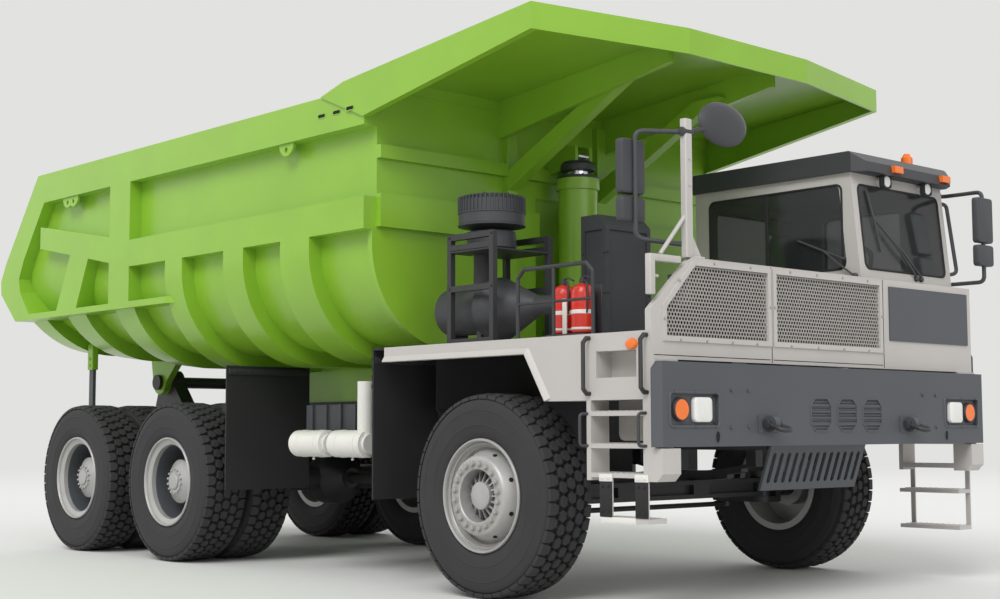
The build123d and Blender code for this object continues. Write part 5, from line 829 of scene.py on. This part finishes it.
def wipers():
    """Twin-arm wiper on the windscreen, a wiper on the right window, and the grab bar at the left corner."""
    mesh = bmesh.new()
    feet = [on_screen(y, 2.725) for y in (1.56, 1.64)]
    hold, start, end = (on_screen(y, z) for y, z in FRONT_WIPER)
    wiper(mesh, feet, hold, start, end, Vector((SCREEN_RISE, 0, SCREEN_BACK)).normalized())
    foot, hold, start, end = (Vector((x, SIDE_WIPER_Y, z)) for x, z in SIDE_WIPER)
    wiper(mesh, [foot], hold, start, end, -ACROSS)
    tube(mesh, rounded_path([
        on_screen(2.150, 3.48) - AHEAD * 0.04, on_screen(2.200, 3.48) + AHEAD * 0.02,
        on_screen(2.250, 2.82) + AHEAD * 0.02, on_screen(2.150, 2.82) - Vector((0.04, 0, 0.02)),
    ], 0.05), 0.018)
    piece("wipers", mesh, "dark_plastic")


WORK_LAMP_X, WORK_LAMP_YS, WORK_LAMP_Z = 5.075, (1.138, 1.795), 3.570


def work_lamps():
    """Dark square housings with a bracket round the two lamps under the visor."""
    mesh = bmesh.new()
    x, z = WORK_LAMP_X, WORK_LAMP_Z
    for y in WORK_LAMP_YS:
        moulding(mesh, (x - 0.045, y, z), ACROSS, UP, rounded_ring(0.100, 0.100, 0.018), 0.012, 0.052)
        box(mesh, (x - 0.04, y - 0.02, z + 0.052), (x - 0.01, y + 0.02, z + 0.056), 0.001)
    piece("work_lamp_housings", mesh, "dark_plastic")


MARKER_LENS, MARKER_HALF = (5.040, 2.200, 2.000), (0.058, 0.042)
MARKER_DOME = ((0.0, 1.0), (0.012, 0.98), (0.024, 0.85), (0.030, 0.55), (0.032, 0.15))


def fender_lenses():
    """Oval domes over the fender markers."""
    mesh = bmesh.new()
    x, y, z = MARKER_LENS
    ring = oval_ring(*MARKER_HALF, 32)
    for side in SIDES:
        loft(mesh, [
            [(x + u * share, side * (y + out), z + v * share) for u, v in ring] for out, share in MARKER_DOME
        ])
    piece("fender_lenses", mesh, "orange_lens")


cab_gaskets()
wipers()
work_lamps()
fender_lenses()


# Mirrors: pale post, black arms, rounded heads with glass, oval convex mirror, in place of the plain solid
POST_X, POST_Y, POST_Z = 5.200, -1.750, (2.660, 3.720)
ARM_Z, ARM_LOW_Z, ARM_R = 3.620, 2.800, 0.019
ARM_CLAMP = ((0.02, 0.0), (0.034, 0.004), (0.034, 0.116), (0.02, 0.12))
LOOP_X, LOOP_Z, CAB_LEFT_Y = 4.940, (2.720, 3.560), 2.160
LOOP_FOOT = ((0.045, 0.0), (0.045, 0.010), (0.030, 0.014), (0.02, 0.014))
RIGHT_HEAD, LEFT_HEAD = (4.930, -2.080, 3.560), (5.360, 2.248, 3.500)
HEAD_W, HEAD_HEIGHTS, HEAD_GAP, HEAD_T, HEAD_CORNER = 0.260, (0.420, 0.195), 0.020, 0.070, 0.032
# Share of the depth and inset of a mirror head's rings
HEAD_STEPS = ((-0.5, 0.006), (-0.44, 0.0), (0.3, 0.0), (0.44, 0.006), (0.5, 0.018))
CONVEX_AT, CONVEX_HALF = (5.215, -1.330, 3.730), (0.290, 0.175)
CONVEX_SHELL = (
    (-0.010, 0.93), (-0.006, 0.985), (0.0, 1.0), (0.016, 0.95), (0.034, 0.78), (0.046, 0.5), (0.050, 0.15),
)
CONVEX_GLASS = ((-0.010, 0.90), (-0.020, 0.72), (-0.026, 0.4), (-0.028, 0.1))


def mirror_post(mesh):
    """Post on the nose, with its foot, gusset, bolts and stay."""
    x, y, (low, high) = POST_X, POST_Y, POST_Z
    box(mesh, (x - 0.03, y - 0.04, low), (x + 0.03, y + 0.04, high), 0.008)
    box(mesh, (x - 0.03, y - 0.01, low), (x + 0.03, y + 0.17, low + 0.014), 0.003)
    gusset = [(y, low), (y + 0.16, low), (y, low + 0.26)]
    loft(mesh, [[(face, *corner) for corner in gusset] for face in (x - 0.008, x + 0.008)])
    hex_heads(mesh, [(x + 0.03, y, low + rise) for rise in (0.55, 0.75)], AHEAD, 0.010, 0.010)
    tube(mesh, [(x, y - 0.02, 2.98), (x, -2.06, 2.665)], 0.016)


def mirror_arms(mesh):
    """Bars from the post to the right heads and to the convex mirror, and the left heads' loop."""
    x, y, _ = RIGHT_HEAD
    x += HEAD_T / 2 + ARM_R * 0.6
    tube(mesh, rounded_path([
        (POST_X, POST_Y, ARM_Z), (x, y, ARM_Z), (x, y, ARM_LOW_Z), (POST_X - 0.02, POST_Y, ARM_LOW_Z - 0.04),
    ], 0.07), ARM_R)
    bend = Vector(CONVEX_AT) + Vector((0.02, -0.1, -0.03))
    tube(mesh, [(POST_X, POST_Y, ARM_Z), bend, CONVEX_AT], ARM_R)
    lathe(mesh, (POST_X, POST_Y - 0.06, ARM_Z), ACROSS, ARM_CLAMP, sides=20)
    x, y, _ = LEFT_HEAD
    low, high = LOOP_Z
    tube(mesh, rounded_path([
        (LOOP_X, CAB_LEFT_Y, high), (LOOP_X, y, high), (x, y, high),
        (x, y, low), (LOOP_X, y, low), (LOOP_X, CAB_LEFT_Y, low),
    ], 0.06), ARM_R)
    for z in LOOP_Z:
        lathe(mesh, (LOOP_X, CAB_LEFT_Y, z), ACROSS, LOOP_FOOT, sides=20)


def mirror_pair(housing, glass, place):
    """Large head with a small one below, softened in front, and their glasses facing back."""
    x, y, top = place
    for height in HEAD_HEIGHTS:
        z = top - height / 2
        rings = []
        for ahead, inset in HEAD_STEPS:
            ring = rounded_ring(HEAD_W - 2 * inset, height - 2 * inset, HEAD_CORNER - inset)
            rings.append([(x + ahead * HEAD_T, y + u, z + v) for u, v in ring])
        loft(housing, rings)
        back, ring = x - HEAD_T / 2, rounded_ring(HEAD_W - 0.03, height - 0.03, 0.024)
        loft(glass, [
            [(face, y + u * share, z + v * share) for u, v in ring]
            for face, share in ((back, 1.0), (back - 0.003, 0.985))
        ])
        top -= height + HEAD_GAP


def convex_rings(steps):
    """Rings of the convex mirror from (distance ahead, share of its size) steps."""
    x, y, z = CONVEX_AT
    ring = oval_ring(*CONVEX_HALF, 48)
    return [[(x + ahead, y + u * share, z + v * share) for u, v in ring] for ahead, share in steps]


def mirrors():
    """All mirror pieces on the nose post and on the cab's left side."""
    post, arms, housing, glass = meshes(4)
    mirror_post(post)
    mirror_arms(arms)
    mirror_pair(housing, glass, RIGHT_HEAD)
    mirror_pair(housing, glass, LEFT_HEAD)
    loft(housing, convex_rings(CONVEX_SHELL))
    loft(glass, convex_rings(CONVEX_GLASS))
    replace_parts(piece("mirror_post", post, "grey_paint"), "mirrors")
    piece("mirror_arms", arms, "dark_plastic")
    piece("mirror_housings", housing, "dark_plastic")
    piece("mirror_glasses", glass, "mirror_glass")


mirrors()


# Driver's seat: stuffed cushion, back and headrest on a sprung base, in place of the plain solid
SEAT_X, SEAT_BACK_X, SEAT_Y, SEAT_W, SEAT_FLOOR_Z = 3.930, 3.680, 1.470, 0.520, 2.155
CUSHION_MID_Z, BACK_MID_Z, HEADREST_MID_Z, BACK_LEAN = 2.5525, 2.920, 3.325, radians(-82)
CUSHION_RINGS, CUSHION_SIDES = 20, 44
BOOT_FOLDS, FOLD_H, FOLD_GROW = 9, 0.028, 0.044


def squared(value, power):
    """A sine or cosine pushed outwards, so that a ball becomes a block."""
    return copysign(abs(value) ** power, value)


def cushion(name, centre, size, crown, lean=0.0):
    """Stuffed form: a rounded block whose large faces are crowned."""
    mesh = bmesh.new()
    turn, half = Matrix.Rotation(lean, 3, "Y"), Vector(size) / 2
    rings = []
    for v in (pi * (i / CUSHION_RINGS - 0.5) for i in range(1, CUSHION_RINGS)):
        ring = []
        for u in angles(CUSHION_SIDES):
            x = squared(cos(u), 0.32) * cos(v) ** 0.3
            y = squared(sin(u), 0.32) * cos(v) ** 0.3
            swell = crown * (1 - x * x) * (1 - y * y) * (1 if v > 0 else -0.4)
            z = half.z * squared(sin(v), 0.55) + swell
            ring.append(Vector(centre) + turn @ Vector((half.x * x, half.y * y, z)))
        rings.append(ring)
    loft(mesh, rings)
    made = piece(name, mesh, "seat_fabric", crease=80.0)
    return made


def driver_seat():
    """Cushions, and the seat's base with a folded boot, pan, headrest rods and hinge plates."""
    x, back, y, floor = SEAT_X, SEAT_BACK_X, SEAT_Y, SEAT_FLOOR_Z
    seat = cushion("seat_cushion", (x, y, CUSHION_MID_Z), (0.50, SEAT_W, 0.145), 0.012)
    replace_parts(seat, "driver_seat")
    cushion("seat_back", (back - 0.005, y, BACK_MID_Z), (0.62, SEAT_W - 0.04, 0.13), 0.014, BACK_LEAN)
    cushion("seat_headrest", (back - 0.045, y, HEADREST_MID_Z), (0.17, 0.30, 0.10), 0.010, BACK_LEAN)
    base = bmesh.new()
    box(base, (x - 0.22, y - 0.2, floor), (x + 0.22, y + 0.2, floor + 0.05), 0.01)
    folds = []
    for k in range(BOOT_FOLDS):
        grow = 0.0 if k % 2 else FOLD_GROW
        ring = rounded_ring(0.36 + grow, 0.32 + grow, 0.05)
        folds.append([(x + u, y + v, floor + 0.045 + k * FOLD_H) for u, v in ring])
    loft(base, folds)
    box(base, (x - 0.23, y - 0.21, 2.43), (x + 0.23, y + 0.21, 2.492), 0.012)
    for side in SIDES:
        rod, hinge = y + side * 0.07, y + side * 0.215
        tube(base, [(back - 0.04, rod, 3.20), (back - 0.048, rod, 3.30)], 0.007)
        box(base, (back - 0.02, hinge - 0.012, 2.45), (back + 0.05, hinge + 0.012, 2.72), 0.005)
    piece("seat_base", base, "dark_plastic")


driver_seat()


# Fittings: flap clamps, splash plates, skirt strips, rock bars, tank bands, ladders, hoist caps, canopy slots
# Mud flaps: x of the face, inner and outer y, top z
FLAPS = ((-0.600, 1.100, 2.120, 2.030), (1.920, 1.450, 2.200, 2.050))
CLAMP_T = 0.012


def flap_clamps():
    """Clamp bars with bolts along the top of each mud flap."""
    mesh = bmesh.new()
    for x, near, far, top in FLAPS:
        for side in SIDES:
            low, high = sorted((side * near, side * far))
            box(mesh, (x, low + 0.02, top - 0.09), (x + CLAMP_T, high - 0.02, top - 0.03), 0.003)
            spots = [(x + CLAMP_T, y, top - 0.06) for y in spread(low, high, 6)]
            hex_heads(mesh, spots, AHEAD, 0.011, 0.012)
    piece("flap_clamps", mesh, "frame_black")


DECK_LOW_Z, SPLASH_Y, SPLASH_BOLT_Z = 2.075, (0.265, 1.620), 2.030
SPLASH_BACK_X, SPLASH_FACE_X = 2.100, 2.110
SPLASH_SHAPE = (
    (SPLASH_BACK_X, DECK_LOW_Z), (2.190, DECK_LOW_Z), (2.190, 2.067), (SPLASH_FACE_X, 2.067),
    (SPLASH_FACE_X, 1.560), (2.150, 1.520), (2.143, 1.513), (SPLASH_BACK_X, 1.556),
)


def splash_plates():
    """Folded dark plates hung from the deck behind the front wheels, with a row of bolts."""
    mesh = bmesh.new()
    for side in SIDES:
        loft(mesh, [[(x, side * y, z) for x, z in SPLASH_SHAPE] for y in SPLASH_Y])
        spots = [(SPLASH_FACE_X, side * y, SPLASH_BOLT_Z) for y in spread(*SPLASH_Y, 5)]
        hex_heads(mesh, spots, AHEAD, 0.012, 0.012)
    piece("splash_plates", mesh, "frame_black")


SKIRT_Y = 2.200
# Corners of the strips' edge as (x, z), each with its way inwards
SKIRT_EDGE = ((2.080, 1.967, 0.0, 1.0), (3.900, 1.967, 0.562, 1.0), (4.130, 1.590, 0.854, 0.521))
SKIRT_STRIP = ((0.0, 0.0), (0.0, 0.028), (0.006, 0.028), (0.050, 0.0))


def skirt_strips():
    """Sloped edge strips along the deck skirts' lower edge and the fenders' slanting edge."""
    mesh = bmesh.new()
    for side in SIDES:
        loft(mesh, [
            [(x + in_x * wide, side * (SKIRT_Y + out), z + in_z * wide) for wide, out in SKIRT_STRIP]
            for x, z, in_x, in_z in SKIRT_EDGE
        ])
    piece("skirt_strips", mesh, "grey_paint", crease=20.0)


BAR_X, BAR_Y, BAR_TIP_Z = -4.320, 1.670, 1.260
SOCKET_Z, SOCKET_HALF = (2.110, 2.420), (0.062, 0.040)
SLEEVE_HALF_W, SLEEVE_HALF_T = 0.047, 0.020


def rock_bar_fittings():
    """Green bolted sockets at the rock bars' tops and grey sleeves on the bars."""
    sockets, sleeves = meshes(2)
    low, high = SOCKET_Z
    half_x, half_y = SOCKET_HALF
    w, top = SLEEVE_HALF_W, low + 0.01
    outline = [(-w, BAR_TIP_Z + 0.02), (w, BAR_TIP_Z), (w, top), (-w, top)]
    for y in (side * BAR_Y for side in SIDES):
        box(sockets, (BAR_X - half_x, y - half_y, low), (BAR_X + half_x, y + half_y, high), 0.008)
        for face in SIDES:
            spots = [(BAR_X, y + face * half_y, low + rise) for rise in (0.05, 0.13)]
            hex_heads(sockets, spots, ACROSS * face, 0.014, 0.012)
        loft(sleeves, [[(BAR_X + x, y + face * SLEEVE_HALF_T, z) for x, z in outline] for face in SIDES])
    piece("rock_bar_sockets", sockets, "green_paint", "bed")
    piece("rock_bar_sleeves", sleeves, "slate_paint", "bed")


TANKS_X, TANK_Y, TANK_Z, TANK_R = ((0.33, 0.89), (0.95, 1.51)), -1.900, 1.245, 0.127
TANK_BAND = ((TANK_R - 0.01, 0.0), (TANK_R + 0.004, 0.001), (TANK_R + 0.004, 0.039), (TANK_R - 0.01, 0.04))
DRAIN_TAP = ((0.006, 0.0), (0.014, 0.003), (0.014, 0.016), (0.009, 0.018), (0.009, 0.034))


def tank_bands():
    """Steel straps and drain taps of the air tanks."""
    mesh = bmesh.new()
    for low, high in TANKS_X:
        for x in (low + 0.12, high - 0.16):
            lathe(mesh, (x, TANK_Y, TANK_Z), AHEAD, TANK_BAND)
        tap = ((low + high) / 2, TANK_Y, TANK_Z - TANK_R - 0.028)
        lathe(mesh, tap, UP, DRAIN_TAP, sides=12)
    piece("tank_bands", mesh, "white_paint")


STRAP_Y, COVER_T, BRACKET_T = 2.200, 0.008, 0.012
RIGHT_STRAPS = ((4.705, 4.825), (5.065, 5.185))
RUNG_ZS, LADDER_X, LADDER_DEPTH, TREAD_TEETH = (1.489, 1.248, 1.030), (4.565, 5.185), 0.200, 10
HANGING_STEPS = {RIGHT: [((4.705, 5.185), 0.700)], LEFT: [(LADDER_X, 0.800), (LADDER_X, 0.470)]}
BACK_PANEL = ((4.700, 1.700), (4.700, 1.330), (4.715, 1.298), (4.750, 1.285), (5.060, 1.285), (5.060, 1.700))
BACK_PANEL_YS = (-1.985, -1.955)


def strap_fittings(brackets, covers):
    """Bolted brackets and rubber covers on the right ladder's hanging straps, and its lowest step's edge."""
    y = -STRAP_Y
    for low, high in RIGHT_STRAPS:
        xs = (low + 0.03, high - 0.03)
        box(brackets, (low - 0.006, y - BRACKET_T, 0.985), (high + 0.006, y, 1.040), 0.003)
        hex_heads(brackets, [(x, y - BRACKET_T, 1.012) for x in xs], -ACROSS, 0.010, 0.009)
        box(covers, (low - 0.004, y - COVER_T, 0.722), (high + 0.004, y, 0.985), 0.003)
        hex_heads(covers, [(x, y - COVER_T, z) for x in xs for z in (0.76, 0.95)], -ACROSS, 0.009, 0.008)
    box(brackets, (4.703, y - 0.004, 0.676), (5.060, y + 0.190, 0.722), 0.006)


def rung_treads(mesh):
    """Teeth across every rung and hanging step."""
    for side in SIDES:
        near, far = sorted((side * (STRAP_Y - 0.01), side * (STRAP_Y - LADDER_DEPTH + 0.02)))
        for (low, high), z in [(LADDER_X, rung_z) for rung_z in RUNG_ZS] + HANGING_STEPS[side]:
            for k in range(TREAD_TEETH):
                x = low + 0.05 + k * (high - low - 0.1) / (TREAD_TEETH - 1)
                box(mesh, (x - 0.006, near, z + 0.0175), (x + 0.006, far, z + 0.0235), 0.002)


def ladder_details():
    """Brackets, side handles, back panel and strap covers of the right ladder, and both ladders' treads."""
    brackets, handles, panel, covers, treads = meshes(5)
    strap_fittings(brackets, covers)
    inner, outer, (top, low, _) = -STRAP_Y + 0.01, -STRAP_Y - 0.055, RUNG_ZS
    for x in (LADDER_X[0] + 0.012, LADDER_X[1] - 0.012):
        path = [(x, inner, top), (x - 0.03, outer, top), (x - 0.03, outer, low), (x, inner, low)]
        tube(handles, rounded_path(path, 0.03), 0.012)
    loft(panel, [[(x, y, z) for x, z in BACK_PANEL] for y in BACK_PANEL_YS])
    rung_treads(treads)
    piece("ladder_brackets", brackets, "white_paint")
    piece("ladder_handles", handles, "dark_plastic")
    piece("ladder_back_panel", panel, "mesh_paint")
    piece("ladder_strap_covers", covers, "flap_rubber")
    piece("ladder_treads", treads, "grey_paint")


HOIST = Vector((2.320, 0, 0))
GLAND_Z, GLAND_SCREW_Z, GLAND_SCREW_R, GLAND_SCREWS = 3.800, 3.828, 0.182, 12
GLAND = (
    (0.158, 0.0), (0.200, 0.0), (0.206, 0.006), (0.206, 0.020),
    (0.196, 0.030), (0.164, 0.034), (0.158, 0.030),
)
STAGE_CAP = (
    (0.086, 3.885), (0.168, 3.885), (0.172, 3.892), (0.168, 3.945),
    (0.145, 3.972), (0.100, 3.985), (0.086, 3.985),
)


def hoist_caps():
    """Dark gland with screws on the hoist's barrel, and the cap on its last stage."""
    gland, cap = meshes(2)
    lathe(gland, HOIST + UP * GLAND_Z, UP, GLAND, loop=True)
    screws = level_places(HOIST + UP * GLAND_SCREW_Z, GLAND_SCREW_R, GLAND_SCREWS)
    hex_heads(gland, screws, UP, 0.010, 0.011)
    lathe(cap, HOIST, UP, STAGE_CAP, loop=True)
    piece("hoist_gland", gland, "dark_plastic", "hoist_barrel")
    piece("hoist_cap", cap, "dark_plastic", "hoist_stage_3")


SLOTS, SLOT_Z = ((1.338, 2.360), (1.570, 2.360), (1.797, 2.380)), 4.259


def canopy_slots():
    """Three framed slots on each side plate at the canopy's root, each filled by a near-black sheet of
    painted shade.
    """
    frames, holes = meshes(2)
    ring = rounded_ring(0.11, 0.030, 0.014)
    for side in SIDES:
        for x, y in SLOTS:
            moulding(frames, (x, side * y, SLOT_Z), AHEAD * -side, UP, ring, 0.010, 0.006)
            # Near-black sheet in each slot: painted shade standing in for the opening
            loft(holes, [
                [(x - side * u, side * face, SLOT_Z + v) for u, v in ring] for face in (y, y + 0.001)
            ])
    piece("canopy_slot_frames", frames, "green_paint", "bed")
    piece("canopy_slot_shades", holes, "near_black_and_hole_shade", "bed")


flap_clamps()
splash_plates()
skirt_strips()
rock_bar_fittings()
tank_bands()
ladder_details()
hoist_caps()
canopy_slots()


# Stage: pale floor that fades into the backdrop, soft suns, camera where the photo was taken
BACKDROP = (226, 226, 224)
FLOOR_HALF, FADE_START, FADE_END = 200.0, 14.0, 45.0
WORLD_STRENGTH = 0.42


def maths_in(tree, operation, first, second):
    """Result of two sockets' values."""
    made = node_in(tree, "Math")
    made.operation = operation
    tree.links.new(first, made.inputs[0])
    tree.links.new(second, made.inputs[1])
    return made.outputs["Value"]


def seen_rays(tree):
    """One for camera, mirror and glass rays, nought for the rays that only carry light."""
    rays = node_in(tree, "LightPath").outputs
    seen = maths_in(tree, "MAXIMUM", rays["Is Camera Ray"], rays["Is Glossy Ray"])
    return maths_in(tree, "MAXIMUM", seen, rays["Is Transmission Ray"])


def mix_in(tree, share, first, second, output):
    """Two shaders mixed by a share and led to the output node."""
    mix = node_in(tree, "MixShader", Fac=share)
    tree.links.new(first, mix.inputs[1])
    tree.links.new(second, mix.inputs[2])
    fill_in(tree, tree.nodes[output], Surface=mix.outputs["Shader"])


def floor_finish():
    """Pale matt floor near the truck, the backdrop's own tone far away."""
    made = finish_of("floor", BACKDROP, 0.8, tone=0.98, patch=0.05, relief=0.0)
    tree = made.node_tree
    reach = node_in(tree, "VectorMath", Vector=node_in(tree, "TexCoord").outputs["Object"])
    reach.operation = "LENGTH"
    fade = node_in(tree, "MapRange", Value=reach.outputs["Value"], From_Min=FADE_START, From_Max=FADE_END)
    fade.interpolation_type = "SMOOTHSTEP"
    share = maths_in(tree, "MULTIPLY", fade.outputs["Result"], seen_rays(tree))
    far = node_in(tree, "Emission", Color=(*srgb(*BACKDROP), 1.0))
    near = tree.nodes["Principled BSDF"]
    mix_in(tree, share, near.outputs["BSDF"], far.outputs["Emission"], "Material Output")
    return made


def pale_floor():
    """Large floor that keeps the truck's shadow."""
    half = FLOOR_HALF
    data = bpy.data.meshes.new("floor")
    corners = [(-half, -half, 0), (half, -half, 0), (half, half, 0), (-half, half, 0)]
    data.from_pydata(corners, [], [(0, 1, 2, 3)])
    data.materials.append(floor_finish())
    linked("floor", data)


def soft_sun(name, comes_from, strength, spread_angle):
    """Wide sun, so that the whole floor is lit evenly and shadows are soft."""
    data = bpy.data.lights.new(name, "SUN")
    data.energy = strength
    data.angle = radians(spread_angle)
    lamp = linked(name, data)
    lamp.rotation_mode = "QUATERNION"
    lamp.rotation_quaternion = (-Vector(comes_from)).to_track_quat("-Z", "Y")
    lamp.location = Vector(comes_from) * 10


def pale_world():
    """Even surround; camera, mirror and glass rays see the backdrop's colour."""
    world = bpy.data.worlds.new("studio")
    bpy.context.scene.world = world
    world.use_nodes = True
    tree = world.node_tree
    light = fill_in(tree, tree.nodes["Background"], Color=(1.0, 1.0, 1.0, 1.0), Strength=WORLD_STRENGTH)
    seen = node_in(tree, "Background", Color=(*srgb(*BACKDROP), 1.0), Strength=1.0)
    mix_in(tree, seen_rays(tree), light.outputs["Background"], seen.outputs["Background"], "World Output")


CAMERA_PLACE = (12.663, -10.488, 1.365)
CAMERA_YAW, CAMERA_PITCH, CAMERA_ROLL = 137.572, 4.92, -0.147
CAMERA_LENS = 54.76


def photo_camera():
    """Camera at the photo's place, direction and lens."""
    data = bpy.data.cameras.new("photo_camera")
    data.sensor_fit = "HORIZONTAL"
    data.sensor_width = 36.0
    data.lens = CAMERA_LENS
    data.clip_end = 1000.0
    camera = linked("photo_camera", data)
    yaw, pitch = radians(CAMERA_YAW), radians(CAMERA_PITCH)
    way = Vector((cos(pitch) * cos(yaw), cos(pitch) * sin(yaw), sin(pitch)))
    aim = way.to_track_quat("-Z", "Y").to_matrix() @ Matrix.Rotation(radians(CAMERA_ROLL), 3, "Z")
    camera.rotation_mode = "QUATERNION"
    camera.rotation_quaternion = aim.to_quaternion()
    camera.location = CAMERA_PLACE
    bpy.context.scene.camera = camera


pale_floor()
pale_world()
soft_sun("key", (0.45, -1.0, 1.0), 1.9, 32.0)
soft_sun("front_fill", (1.0, -0.15, 0.5), 0.75, 50.0)
soft_sun("left_fill", (-0.5, 1.0, 0.7), 0.5, 60.0)
soft_sun("rear_rim", (-1.0, -0.25, 0.7), 0.4, 60.0)
photo_camera()
bpy.context.scene.view_settings.view_transform = "Standard"

bpy.context.view_layer.update()
